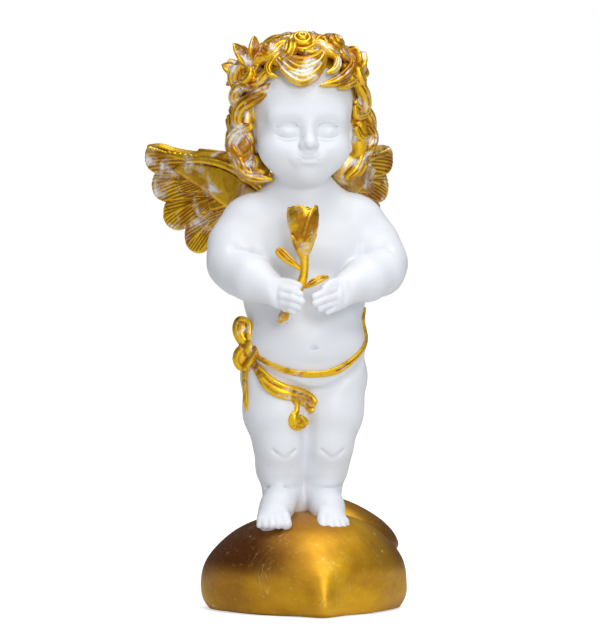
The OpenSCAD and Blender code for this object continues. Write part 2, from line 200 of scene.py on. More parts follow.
def lock_form(points, out, ribs=3, groove=0.35, steps=4, flat=0.6):
    """A lock of hair: a flattened rope with grooves along it.
    Each point is x, y, z, half width. `out` is the way the grooved face looks."""
    rows = smooth_path(points, steps)
    a, b = rows[:-1], rows[1:]
    keep = np.linalg.norm(b[:, :3] - a[:, :3], axis=1) > 1e-3
    a, b = a[keep], b[keep]
    width = float(rows[:, 3].max())
    reach = width + 1.6

    def far(p):
        full = np.broadcast_shapes(*(q.shape for q in p))
        best = np.full(full, FAR, np.float32)
        ax = [q.ravel() for q in p]
        for u, v in zip(a, b):
            cut = []
            for i in range(3):
                lo = min(u[i], v[i]) - reach
                hi = max(u[i], v[i]) + reach
                i0 = int(np.searchsorted(ax[i], lo))
                cut.append(slice(i0, max(i0, int(np.searchsorted(ax[i], hi)))))
            if any(c.stop <= c.start for c in cut):
                continue
            g = np.ix_(*(ax[i][cut[i]] for i in range(3)))
            t = v[:3] - u[:3]
            length = np.linalg.norm(t)
            t = t / length
            q = [g[i] - u[i] for i in range(3)]
            s = np.clip((q[0] * t[0] + q[1] * t[1] + q[2] * t[2]) / length, 0, 1)
            w = u[3] + (v[3] - u[3]) * s
            mid = 0.5 * (u[:3] + v[:3])
            n = out(mid) if callable(out) else np.asarray(out, float)
            n = n - t * (n @ t)
            n = n / max(np.linalg.norm(n), 1e-6)
            m = np.cross(n, t)
            r = [q[i] - s * t[i] * length for i in range(3)]
            x = r[0] * m[0] + r[1] * m[1] + r[2] * m[2]
            y = r[0] * n[0] + r[1] * n[1] + r[2] * n[2]
            z = r[0] * t[0] + r[1] * t[1] + r[2] * t[2]
            h = np.maximum(w * flat, 0.3)
            w = np.maximum(w, 0.3)
            k0 = np.sqrt((x / w) ** 2 + (y / h) ** 2 + (z / h) ** 2)
            k1 = np.sqrt((x / w**2) ** 2 + (y / h**2) ** 2 + (z / h**2) ** 2)
            d = k0 * (k0 - 1.0) / np.maximum(k1, 1e-6)
            wave = np.cos(2 * math.pi * ribs * 0.5 * (x / w + 1.0 / ribs))
            d = d + groove * (0.5 + 0.5 * wave) * np.clip(w / width, 0.3, 1)
            region = tuple(cut)
            best[region] = np.minimum(best[region], d)
        return best

    lo = rows[:, :3].min(0) - width
    return Form(lo, rows[:, :3].max(0) + width, far)


class Clay:
    """A block of clay held as a grid of distances, in millimetres."""

    def __init__(self, lo, hi, step):
        self.step = step
        self.lo = np.floor(np.asarray(lo, float) / step) * step
        self.n = np.ceil((np.asarray(hi, float) - self.lo) / step).astype(int) + 1
        self.axes = [
            (self.lo[i] + step * np.arange(self.n[i])).astype(np.float32)
            for i in range(3)
        ]
        self.d = np.full(self.n, FAR, np.float32)

    def like(self):
        other = Clay.__new__(Clay)
        other.step, other.lo, other.n, other.axes = self.step, self.lo, self.n, self.axes
        other.d = np.full(self.n, FAR, np.float32)
        return other

    def part(self, lo, hi):
        i0 = np.clip(np.floor((lo - self.lo) / self.step).astype(int), 0, self.n)
        i1 = np.clip(np.ceil((hi - self.lo) / self.step).astype(int) + 1, 0, self.n)
        if (i1 <= i0).any():
            return None, None
        cut = tuple(slice(a, b) for a, b in zip(i0, i1))
        grid = np.ix_(*(self.axes[i][cut[i]] for i in range(3)))
        return cut, grid

    def add(self, form, k=0.0):
        margin = k + 2.5
        cut, grid = self.part(form.lo - margin, form.hi + margin)
        if cut is not None:
            self.d[cut] = soft_min(self.d[cut], form(grid), k)

    def cut(self, form, k=0.0):
        margin = k + 1.0
        cut, grid = self.part(form.lo - margin, form.hi + margin)
        if cut is not None:
            self.d[cut] = soft_max(self.d[cut], -form(grid), k)

    def at(self, points, field=None):
        """Value of the grid at points in millimetres."""
        f = self.d if field is None else field
        q = (points - self.lo) / self.step
        i = np.clip(np.floor(q).astype(int), 0, self.n - 2)
        t = np.clip(q - i, 0, 1)
        out = np.zeros(len(points))
        for dx in (0, 1):
            for dy in (0, 1):
                for dz in (0, 1):
                    w = (
                        (t[:, 0] if dx else 1 - t[:, 0])
                        * (t[:, 1] if dy else 1 - t[:, 1])
                        * (t[:, 2] if dz else 1 - t[:, 2])
                    )
                    out += w * f[i[:, 0] + dx, i[:, 1] + dy, i[:, 2] + dz]
        return out

    def slope(self, points, field=None):
        e = self.step * 0.8
        g = np.zeros((len(points), 3))
        for i in range(3):
            shift = np.zeros(3)
            shift[i] = e
            g[:, i] = self.at(points + shift, field) - self.at(points - shift, field)
        return g / np.maximum(np.linalg.norm(g, axis=1, keepdims=True), 1e-9)

    def raised(self):
        """How far the skin stands out of its surroundings: ridges over 0."""
        f = np.clip(self.d, -RELIEF_REACH, RELIEF_REACH)
        for _ in range(BLUR_PASSES):
            for axis in range(3):
                g = np.copy(f)
                mid = [slice(None)] * 3
                up, down = list(mid), list(mid)
                mid[axis], up[axis], down[axis] = slice(1, -1), slice(2, None), slice(None, -2)
                g[tuple(mid)] = (
                    0.5 * f[tuple(mid)] + 0.25 * f[tuple(up)] + 0.25 * f[tuple(down)]
                )
                f = g
        return f - np.clip(self.d, -RELIEF_REACH, RELIEF_REACH)


def polygons(clay, field=None):
    """Points (mm) and four-cornered faces of the zero surface, facing out."""
    f = np.array(clay.d if field is None else field, np.float32)
    for axis in range(3):  # closes the block at its walls
        edge = [slice(None)] * 3
        for side in (0, -1):
            edge[axis] = side
            f[tuple(edge)] = np.maximum(f[tuple(edge)], clay.step)
    f = np.clip(f, -3 * clay.step, 3 * clay.step)
    grid = vdb.FloatGrid(3 * clay.step)
    grid.copyFromArray(f)
    points, quads = grid.convertToQuads(0.0)
    points = points * clay.step + clay.lo
    a, b, c, d = (points[quads[:, i]] for i in range(4))
    volume = np.einsum("ij,ij->", a, np.cross(b, c) + np.cross(c, d))
    if volume < 0:
        quads = quads[:, ::-1]
    return points, quads


def make_mesh(name, points, faces, material, normals=None, values=None):
    """A mesh object from points in millimetres."""
    mesh = bpy.data.meshes.new(name)
    faces = np.asarray(faces, np.int32)
    size = faces.shape[1]
    mesh.vertices.add(len(points))
    mesh.vertices.foreach_set("co", (np.asarray(points) * MM).astype(np.float32).ravel())
    mesh.loops.add(faces.size)
    mesh.loops.foreach_set("vertex_index", faces.ravel())
    mesh.polygons.add(len(faces))
    mesh.polygons.foreach_set("loop_start", np.arange(0, faces.size, size, dtype=np.int32))
    mesh.update(calc_edges=True)
    mesh.validate()
    mesh.polygons.foreach_set("use_smooth", [True] * len(mesh.polygons))
    for key, value in (values or {}).items():
        layer = mesh.attributes.new(key, "FLOAT", "POINT")
        layer.data.foreach_set("value", np.asarray(value, np.float32))
    if normals is not None:
        mesh.normals_split_custom_set_from_vertices(normals.astype(np.float32))
    mesh.materials.append(material)
    obj = bpy.data.objects.new(name, mesh)
    bpy.context.scene.collection.objects.link(obj)
    return obj


def cast(name, clay, material, field=None, skin=None, grain=None):
    """Turns clay into a finished piece that stands for its CAD node."""
    points, quads = polygons(clay, field)
    if not len(quads):
        raise RuntimeError(f"{name} came out empty")
    normals = clay.slope(points, field)
    if skin is not None:
        on_skin = np.abs(clay.at(points, skin)) < 0.45 * clay.step + 0.1
        normals[on_skin] = clay.slope(points[on_skin], skin)
    relief = clay.raised() if grain is None else grain
    values = {"relief": clay.at(points, relief)}
    obj = make_mesh(name, points, quads, material, normals, values)
    finish_piece(obj, name)


def finish_piece(obj, node):
    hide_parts(node)
    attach(obj, "root")


def block(name, step, pad):
    """Clay round the box of a CAD node."""
    lo, hi = box_mm(name)
    return Clay(lo - pad, hi + pad, step)


def profile(x, places, values):
    """Straight runs through the values, read at each number of a grid."""
    return np.interp(x.ravel(), places, values).reshape(x.shape)


# ------------------------------------------------------------------ figure
BODY_X = -0.5  # middle of the trunk
LEG_X = -1.2  # middle of the legs
FACE_X = -2.8  # middle of the face
SKULL_TOP = 243.8  # top of the head that lay_head's numbers fit, mm
SIDES = (-1, 1)  # the figure's right, then left
TOES = {-1: (-16.9, -18.6, 39.0), 1: (8.3, -18.6, 37.8)}


def lay_leg(clay, s):
    knee, ankle = (s * 10.4 + LEG_X, -2.5, 70.5), (s * 8.2 + LEG_X, 1.0, 52.0)
    hip, thigh = (s * 12.4 + BODY_X, -0.5, 98), (s * 11.7 + LEG_X, -2.0, 86)
    calf = (s * 9.6 + LEG_X, 0.4, 61.5)
    clay.add(bone(hip, 14.6, thigh, 13.9))
    clay.add(bone(thigh, 13.7, knee, 10.3), 4)
    clay.add(bone(knee, 10.5, calf, 9.5), 4)
    clay.add(bone(calf, 9.5, ankle, 7.5), 4)
    clay.add(egg((s * 10.6 + LEG_X, -8.6, 72.5), (6.2, 4.8, 6.4)), 6)
    clay.add(egg((s * 10.0 + LEG_X, 4.5, 62.5), (7.4, 6.8, 8)), 5)
    lay_foot(clay, s)


def lay_foot(clay, s):
    ankle = np.array((s * 8.6 + LEG_X, 1.0, 52.0))
    heel = np.array((s * 8.6 + LEG_X, 4.5, 45.8))
    toes = np.array(TOES[s])
    instep = ankle * 0.45 + toes * 0.55 + (0, 1.0, 1.0)
    ball = toes + (0, 4.6, 1.2)
    clay.add(bone(ankle, 7.4, heel, 7.2), 3)
    clay.add(bone(ankle + (0, -0.5, -1), 7.2, instep, 6.7), 4)
    clay.add(bone(instep, 6.7, ball, 5.2), 4)
    clay.add(bone(heel + (0, 0, -1.5), 6.4, ball + (s * 1.8, 0, 0), 4.6), 4)
    for i in range(5):
        r = (2.5, 1.95, 1.8, 1.65, 1.5)[i]
        x = s * (-4.6, -1.1, 1.7, 4.2, 6.3)[i]
        y = (-2.4, -2.9, -2.3, -1.2, 0.6)[i]
        root = toes + (x * 0.74, 3.0 + 0.3 * i, 5.2 - 0.5 * i)
        mid = toes + (x * 0.92, y * 0.3 + 0.8, 2.6 - 0.25 * i)
        tip = toes + (x, y, -0.3 - 0.1 * i)
        clay.add(bone(root, r * 0.95, mid, r * 1.02), 1.4)
        clay.add(bone(mid, r * 1.02, tip, r), 0.55)


def lay_trunk(clay):
    x = BODY_X
    clay.add(egg((x, 0.5, 103), (27, 19.2, 14)))
    clay.add(egg((x, -4.6, 116), (26.4, 20.2, 16.5)), 6)
    clay.add(egg((x, -0.8, 135), (26.6, 17.4, 19)), 8)
    clay.add(egg((x, 0.2, 155), (25.5, 15.6, 17)), 8)
    for s in SIDES:
        clay.add(egg((s * 9.5 + x, -9.4, 157), (11, 6.4, 9)), 7)
        clay.add(egg((s * 18.5 + x, 1.5, 168), (12.5, 11.5, 9.6)), 7)
        clay.add(bone((s * 8 + x, 3, 178), 8.5, (s * 19 + x, 2, 171.5), 8.0), 6)
        clay.add(egg((s * 11 + x, 9.8, 100), (12.8, 11, 13)), 5)
        clay.add(egg((s * 13 + x, 10.5, 163), (11, 6.5, 13)), 6)
    clay.add(bone((-0.9, 2.4, 171), 13.4, (-1.9, 1.0, 187), 11.5), 8)


def add_body_folds(clay):
    x = BODY_X
    fold = [(-25, 107.5, 0.6), (-18, 102.5, 0.9), (-10.5, 98.5, 1.1), (-3, 95.4, 1.2)]
    fold += [(3.2, 95.0, 1.2), (9.5, 97.0, 1.1), (16, 101.2, 0.9), (23, 106.5, 0.6)]
    clay.cut(cord_form(lay_on(clay, fold, 0.1)), 3.2)
    clay.cut(egg((-0.8, -25.2, 113.8), (1.9, 2.2, 0.8), turn("Y", -8)), 1.1)
    seam = [(x - 1.5, 19, 112, 0.5), (x, 21.5, 100, 1.2), (x, 17, 88, 0.8)]
    clay.cut(cord_form(seam), 3)
    spine = [(x, 18.5, 168, 0.3), (x, 17.5, 145, 0.8), (x, 18, 120, 0.4)]
    clay.cut(cord_form(spine), 5)
    gap = [(LEG_X, -15.5, 93, 0.2), (LEG_X, -13.6, 84, 0.6), (LEG_X, -11.5, 72, 0.7)]
    clay.cut(cord_form(gap + [(LEG_X - 0.6, -9.5, 60, 0.5), (LEG_X - 0.6, -8.5, 52, 0.3)]), 4.0)
    for s in SIDES:
        knee = s * 10.6 + LEG_X
        for away in SIDES:
            fold = [(knee + away * 0.8, -14.2, 66.4, 0.1), (knee + away * 2.6, -14.2, 67.8, 0.1)]
            clay.cut(cord_form(fold + [(knee + away * 4.6, -13.4, 69.8, 0.1)]), 1.9)
        front = []
        for i in range(7):
            a = math.radians(-90 + 17 * (i - 3) + s * 12)
            place = (s * 8.2 + LEG_X + 9.3 * math.cos(a), 0.6 + 9.3 * math.sin(a), 53.4)
            front.append((*place, 0.2))
        clay.cut(cord_form(front, 2), 2.4)
        under = [(s * 22 + x, 13, 91, 0.5), (s * 12 + x, 18.5, 89.5, 0.8), (s * 4 + x, 17, 91, 0.5)]
        clay.cut(cord_form(under), 2.5)


HAND = {  # wrist, middle of the palm, then each finger's knuckle and tip
    -1: [(-21.0, -24.6, 139.8), (-17.6, -28.6, 136.4)]
    + [(-15.6, -32.0, 139.0), (-9.0, -34.8, 136.8), (-16.2, -32.4, 136.2), (-8.4, -35.3, 133.8)]
    + [(-16.0, -31.8, 133.4), (-9.6, -34.5, 131.2), (-14.8, -30.6, 131.0), (-11.2, -33.2, 129.5)],
    1: [(13.6, -25.4, 139.6), (9.6, -28.8, 136.0)]
    + [(5.8, -32.2, 138.9), (-2.8, -35.0, 135.8), (6.2, -32.4, 136.0), (-2.6, -35.2, 133.0)]
    + [(6.6, -31.8, 133.2), (-0.4, -34.4, 130.8), (7.8, -30.6, 131.2), (3.2, -32.9, 129.4)],
}
THUMB = {
    -1: [(-18.0, -27.4, 141.2), (-13.2, -30.8, 141.6), (-9.2, -33.0, 140.4)],
    1: [(9.6, -28.2, 141.0), (5.2, -31.6, 141.4), (1.6, -34.0, 139.6)],
}


def lay_arm(clay, s):
    wrist = np.array(HAND[s][0])
    shoulder = np.array((s * 24.3 + BODY_X, 1.6, 165.8))
    upper = np.array((s * 29.6 + BODY_X, -0.5, 157.5))
    elbow = np.array((s * (32.1 + 0.7 * s) + BODY_X, -4.6, 150.0))
    bend = np.array((s * (30.3 + 0.7 * s) + BODY_X, -11.0, 146.4))
    mid = (bend + wrist) / 2 + (s * 1.0, -0.6, 0.3)
    clay.add(bone(shoulder, 11.9, upper, 11.7))
    clay.add(bone(upper, 11.5, elbow, 10.9), 4)
    clay.add(bone(elbow, 10.8, bend, 9.9), 4)
    clay.add(bone(bend, 9.8, mid, 9.1), 4)
    clay.add(bone(mid, 9.1, wrist, 6.6), 4)
    crease = [(22.5, -13.5, 153.5, 0.4), (27, -15.2, 154.5, 0.5), (33, -15, 156, 0.3)]
    clay.cut(cord_form([(s * a + BODY_X, b, c, d) for a, b, c, d in crease]), 4.5)
    lay_hand(clay, s)


def lay_hand(clay, s):
    points = [np.array(p) for p in HAND[s]]
    wrist, palm, joints = points[0], points[1], points[2:]
    clay.add(bone(wrist, 6.3, palm, 4.9), 3)
    clay.add(egg(palm + (-s * 1.6, -0.8, -0.6), (5.0, 3.6, 5.0)), 2.5)
    clay.cut(egg(wrist * 0.4 + palm * 0.6 + (0, -6.6, 0), (0.6, 1.2, 4.0)), 3.0)
    for i in range(4):
        r = (1.75, 1.8, 1.7, 1.5)[i]
        start, tip = joints[2 * i], joints[2 * i + 1]
        middle = start * 0.5 + tip * 0.5 + (0, -0.9, 0.35)
        clay.add(bone(start, r * 1.12, middle, r * 1.05), 0.7)
        clay.add(bone(middle, r * 1.05, tip, r * 0.94), 0.3)
        if i:
            gap = (joints[2 * i - 2] + start) / 2, (joints[2 * i - 1] + tip) / 2
            clay.cut(bone(gap[0] + (0, -1.9, 0), 0.12, gap[1] + (0, -1.6, 0), 0.2), 0.5)
    rows = [(*p, r) for p, r in zip(THUMB[s], (2.9, 2.1, 1.7))]
    clay.add(cord_form(rows), 1.4)


def lay_head(clay):
    x = FACE_X
    rise = box_mm("head")[1][2] - SKULL_TOP
    clay.add(egg((-1.5, 1.5, 220.5 + rise), (21.3, 22.3, 23)))
    clay.add(egg((-1.8, -5.5, 218), (19.6, 17.2, 18)), 6)
    clay.add(egg((-2.2, -4.5, 204), (19.4, 17.0, 14.5)), 7)
    clay.add(egg((-2.5, -7.5, 192.8), (13.4, 11.8, 8.6)), 7)
    clay.add(egg((-2.6, -9.5, 187.5), (9.5, 8.5, 4.8)), 5)
    clay.add(egg((x, -16.6, 189.6), (5.6, 5.0, 4.4)), 4.5)
    for s in SIDES:
        clay.add(egg((s * 10.0 + x, -12.6, 198.6), (9.6, 9.4, 8.4)), 5)
        clay.add(egg((s * 8.4 + x, -17.2, 212.8), (6.8, 3.4, 3.0)), 7)
    for s in SIDES:
        clay.cut(egg((s * 8.5 + x, -25.9, 206.4), (5.4, 4.4, 3.4)), 5.5)
        clay.cut(egg((s * 4.0 + x, -25.6, 205.2), (2.2, 3.0, 3.2)), 4.0)
        clay.add(egg((s * 8.4 + x, -16.9, 205.7), (5.1, 5.1, 3.7)), 1.3)
    clay.add(bone((x, -20.4, 208.6), 1.9, (x, -23.8, 202.0), 2.2), 4)
    clay.add(egg((x, -25.1, 200.9), (2.6, 2.3, 2.2)), 2.2)
    for s in SIDES:
        clay.add(egg((s * 2.5 + x, -23.4, 200.3), (1.8, 2.0, 1.6)), 0.9)
        clay.cut(egg((s * 1.45 + x, -25.0, 198.6), (0.75, 1.0, 0.65)), 0.7)
    add_eyes(clay, x)
    add_mouth(clay, x)
    for s in SIDES:
        add_ear(clay, s)


def add_eyes(clay, x):
    for s in SIDES:
        lid, above = [], []
        for i in range(7):
            t = i / 6 * 2 - 1
            away = s * 8.4 + 4.9 * t + x
            sag = 1.5 * (1 - t * t)
            depth = -21.55 + 1.9 * abs(t) ** 2.2 + (0.5 * s * t)
            lid.append((away, depth, 204.5 - sag, 0.22))
            above.append((away, depth + 0.7, 208.6 + 0.5 * sag - 0.4 * abs(t), 0.15))
        clay.cut(cord_form(lid, 3), 0.75)
        clay.add(cord_form([(p[0], p[1] + 0.15, p[2] - 0.55, 0.2) for p in lid], 3), 0.9)
        clay.cut(cord_form(above, 3), 1.5)


def add_mouth(clay, x):
    clay.add(egg((x, -21.0, 194.6), (6.6, 2.4, 3.6)), 3)
    for s in SIDES:
        clay.add(egg((s * 1.9 + x, -22.9, 195.5), (2.9, 1.3, 1.0), turn("Y", s * 14)), 0.8)
    clay.add(egg((x, -22.7, 192.9), (3.5, 1.5, 1.25)), 0.9)
    line = [(i, 194.1 + 2.0 * (abs(i) / 5.4) ** 1.8) for i in np.linspace(-5.4, 5.4, 9)]
    clay.cut(
        cord_form(lay_on(clay, [(i + x, z, 0.34 - 0.03 * abs(i)) for i, z in line], 0.1), 3), 0.7
    )
    clay.cut(egg((x, -23.9, 190.2), (2.6, 1.1, 0.6)), 2.6)
    clay.cut(bone((x, -24.6, 198.3), 0.35, (x, -24.2, 196.6), 0.45), 1.0)


def add_ear(clay, s):
    cx = s * 20.9 - 1.6
    clay.add(egg((cx, 1.2, 206.0), (2.5, 4.3, 6.6), turn("X", 12)), 1.4)
    clay.add(egg((cx - s * 0.6, -0.2, 199.4), (2.3, 2.5, 2.6)), 1.5)
    clay.cut(egg((cx + s * 2.0, 0.4, 206.4), (1.7, 2.3, 4.0), turn("X", 12)), 1.2)
    clay.add(egg((cx + s * 0.4, 0.2, 204.4), (1.2, 1.0, 1.6)), 1.0)


def join_fields(step, lo, hi):
    """Trunk, head and arm fields and their smooth sum on one block."""
    body = Clay(lo, hi, step)
    lay_trunk(body)
    legs = [body.like() for _ in SIDES]
    for s, leg in zip(SIDES, legs):
        lay_leg(leg, s)
    legs[0].add(egg((LEG_X - 0.8, 2.5, 46.5), (7.0, 6.5, 7.5)), 3)
    both = soft_min(legs[0].d, legs[1].d, 2.0)
    body.d = soft_min(body.d, both, 4.5)
    add_body_folds(body)
    head = body.like()
    lay_head(head)
    arms = [body.like() for _ in SIDES]
    for s, arm in zip(SIDES, arms):
        lay_arm(arm, s)
    y = body.axes[1][None, :, None]
    blend = 0.7 + 6.0 * fade((y + 20.0) / 14.0)
    whole = body.like()
    whole.d = soft_min(body.d, head.d, 2.6)
    for arm in arms:
        whole.d = soft_min(whole.d, arm.d, blend)
    return whole, body, head, arms


OVERLAP = 1.3  # how far one casting runs on under the next, mm
UNDER = 0.07  # how far below the skin it runs, mm


def sculpt_figure(material, body_step, head_step):
    whole, body, head, arms = join_fields(body_step, (-46, -41, 33), (45, 24, 196))
    grain = whole.raised()
    others = np.minimum(np.minimum(arms[0].d, arms[1].d), head.d)
    past = body.d - others
    field = np.maximum(whole.d + UNDER * fade(past / 0.5 + 0.5), past - OVERLAP)
    cast("figure_body", whole, material, field, whole.d, grain)
    for s, arm, name in zip(SIDES, arms, ("right_arm", "left_arm")):
        rest = np.minimum(body.d, arms[0].d if s > 0 else arms[1].d)
        field = np.maximum(whole.d, arm.d - rest)
        cast(name, whole, material, field, whole.d, grain)
    whole, body, head, arms = join_fields(head_step, (-29, -31, 180), (26, 27, 246))
    field = np.maximum(whole.d, head.d - np.minimum(body.d, np.minimum(arms[0].d, arms[1].d)))
    cast("head", whole, material, field, whole.d)


# ------------------------------------------------------------------ base
def heart_radius(a, tip, lobe_r, lobe_x, lobe_y, puff):
    """Distance from the middle to the outline, `a` degrees from the tip."""
    aa = np.minimum(a, 360 - a)
    rad = np.radians(aa)
    d = np.array([np.sin(rad), -np.cos(rad)])
    along = d[0] * lobe_x + d[1] * lobe_y
    inside = along**2 - lobe_x**2 - lobe_y**2 + lobe_r**2
    on_lobe = along + np.sqrt(np.maximum(inside, 0))
    reach = math.hypot(lobe_x, lobe_y + tip)
    lean = math.atan2(lobe_x, lobe_y + tip) + math.asin(lobe_r / reach)
    on_side = tip * math.sin(lean) / np.sin(np.maximum(math.pi - lean - rad, 0.02))
    touch = math.atan2(lobe_x + lobe_r * math.cos(lean), -(lobe_y - lobe_r * math.sin(lean)))
    flat = np.where(rad > touch, on_lobe, on_side)
    w = puff * fade((aa + 6) / 62) * fade((140 - aa) / 40)
    return flat * (1 - w) + tip * w


BLUNT = 30.0  # spread of the rounding over the point of the heart, degrees
LOBE_R, LOBE_Y = 25.0, 12.0  # radius of the heart's lobes and how far back they sit
PUFF = 0.42  # how much the flanks swell past straight sides
RIM_Z = 9.0  # height of the widest line
WALL = 0.2  # share of the rings that lie below the rim


def heart_rings(rings, steps, half_w, tip, top, bottom):
    """Points of a heart dome from its bottom edge to its top."""
    a = np.arange(steps) * 360.0 / steps
    outline = heart_radius(a, tip, LOBE_R, half_w - LOBE_R, LOBE_Y, PUFF)
    # the outline's point and notch are a little rounded, as castings are
    for _ in range(steps // 14):
        outline = 0.5 * outline + 0.25 * (np.roll(outline, 1) + np.roll(outline, -1))
    aa = np.minimum(a, 360 - a)
    bell = np.exp(-((aa / BLUNT) ** 2))
    blunt = np.fft.irfft(np.fft.rfft(outline) * np.fft.rfft(bell / bell.sum()), steps)
    blunt = blunt * half_w / (blunt * np.sin(np.radians(a))).max()
    u = np.array([np.sin(np.radians(a)), -np.cos(np.radians(a))])
    rows = []
    for i in range(rings):
        t = i / (rings - 1)
        if t < WALL:
            z = bottom + (RIM_Z - bottom) * t / WALL
            s = 1 - 0.085 * (1 - z / RIM_Z) ** 2.4
            m = 1.0
        else:
            e = math.pi / 2 * (t - WALL) / (1 - WALL)
            z, s = RIM_Z + (top - RIM_Z) * math.sin(e), math.cos(e) ** 0.94
            m = float(fade(min(1.0, max(0.0, (s - 0.3) / 0.7))))
        w = float(fade((z - RIM_Z) / (0.32 * top)))
        r = (outline * (1 - w) + blunt * w) * m + half_w * 0.98 * (1 - m)
        rise = 4.4 * np.sin(np.radians(np.minimum(aa * 1.6, 180.0))) ** 2
        level = rise - 4.6 * np.exp(-((aa / 20) ** 2))
        drop = level * max(0.0, 1 - abs(z - RIM_Z) / RIM_Z)
        rows.append(np.stack([s * r * u[0], s * r * u[1], z + drop], axis=1))
    return np.array(rows)


def close_rings(rows):
    """Skin a stack of rings, with a cap at each end."""
    rings, steps = rows.shape[:2]
    points = list(rows.reshape(-1, 3))
    points.append(rows[-1].mean(0) + (0, 0, 0.02))
    points.append(rows[0].mean(0))
    top, low = len(points) - 2, len(points) - 1
    i = np.arange(steps)
    j = (i + 1) % steps
    faces = []
    for k in range(rings - 1):
        faces.append(
            np.stack([k * steps + i, k * steps + j, (k + 1) * steps + j, (k + 1) * steps + i], 1)
        )
    quads = np.concatenate(faces)
    last = (rings - 1) * steps
    caps = np.concatenate(
        [
            np.stack([last + i, last + j, np.full(steps, top)], 1),
            np.stack([j, i, np.full(steps, low)], 1),
        ]
    )
    tris = np.concatenate([quads[:, [0, 1, 2]], quads[:, [0, 2, 3]], caps])
    return np.array(points), tris


def lumps(points, size, height, seed):
    """A slow, smooth unevenness for a cast surface."""
    rng = np.random.default_rng(seed)
    out = np.zeros(len(points))
    for _ in range(7):
        way = rng.normal(size=3)
        way = way / np.linalg.norm(way) / size * rng.uniform(0.7, 1.6)
        out += np.sin(points @ way * 2 * math.pi + rng.uniform(0, 6.3))
    return out / 7 * height * 2


BASE_HALF_W = 45.8
BASE_TURN, BASE_SHIFT = -1.5, 1.2  # how the base stands under the figure
REAR_SCALE, REAR_FLAT = 0.53, 0.55  # the small heart against the base, and its thinness
REAR_AT = (25, 24.5, 31)


def sculpt_base(material):
    lo, hi = box_mm("heart_base")
    fine = 360
    rows = heart_rings(fine // 4, fine, BASE_HALF_W, -lo[1], hi[2], 0.5)
    under = rows[0] * (1 - 7.85 / 45.0) / 0.93
    seat = np.array([under * (1, 1, 0) + (0, 0, 2.0), under * (1, 1, 0) + (0, 0, 0.5)])
    rows = np.concatenate([seat, rows])
    points, tris = close_rings(rows)
    swell = lumps(points, 26.0, 0.35, 5)
    away = points[:, :2] / np.maximum(np.linalg.norm(points[:, :2], axis=1, keepdims=True), 1)
    free = fade((points[:, 2] - 3.0) / 8.0)
    points[:, :2] += away * (swell * free)[:, None]
    points = points @ turn("Z", BASE_TURN).T + (BASE_SHIFT, 0, 0)
    obj = make_mesh("heart_base", points, tris, material, values={"relief": np.zeros(len(points))})
    finish_piece(obj, "heart_base")


def sculpt_rear_heart(material):
    fine = 200
    rows = heart_rings(fine // 4, fine, 45.0, 45.0, 43.0, 0.4)
    points, tris = close_rings(rows)
    points = points * (REAR_SCALE, REAR_SCALE, REAR_SCALE * REAR_FLAT)
    points = points @ (turn("Z", 10) @ turn("Y", 27) @ turn("X", 10)).T + REAR_AT
    obj = make_mesh("rear_heart", points, tris, material, values={"relief": np.zeros(len(points))})
    finish_piece(obj, "rear_heart")


# ------------------------------------------------------------------ wings
def feather_height(u, v, root, way, length, wide, thick, barbs):
    """Relief of one feather over the wing plane; under 0 outside it."""
    a = math.radians(way)
    t, w = (math.cos(a), math.sin(a)), (-math.sin(a), math.cos(a))
    s = (u - root[0]) * t[0] + (v - root[1]) * t[1]
    x = (u - root[0]) * w[0] + (v - root[1]) * w[1]
    x = x + 0.0035 * s * s - 0.0035 * length * s  # feathers bend a little
    q = np.clip(s / length, 0.0, 1.0)
    body = np.minimum(1.0, ((q + 0.05) / 0.5) ** 0.6)
    tip = np.sqrt(np.maximum(1 - np.maximum(0, (q - 0.76) / 0.24) ** 2.6, 0.0))
    span = 0.5 * wide * body * tip + 0.01
    c = x / np.maximum(0.5 * wide * body, 0.5)
    inside = np.minimum(span - np.abs(x), np.minimum(s, length - s) + 0.5)
    lift = thick * (0.86 - 0.24 * c) * fade(inside / 1.1 + 0.25)
    comb = 0.5 + 0.5 * np.cos((np.abs(c) ** 0.85 * 5.6 - q * 5.4) * 2 * math.pi)
    lift = lift - barbs * comb * np.clip(np.abs(x) / 0.8 - 0.3, 0, 1) * np.clip(q * 4, 0, 1)
    lift = lift + 0.4 * np.exp(-((x / 0.5) ** 2)) * np.clip(2.4 * (1 - q), 0, 1)
    return np.where(inside > 0, lift, np.maximum(inside * 3, -2.0))


PANEL_U = (-8, 5, 17, 26, 35, 49, 60, 67)
PANEL_TOP = (2, 7, 12, 17, 20.5, 22.5, 22, 18.8)
PANEL_LOW = (-11, -9, -6, -4, 1, 9, 14.5, 18.0)


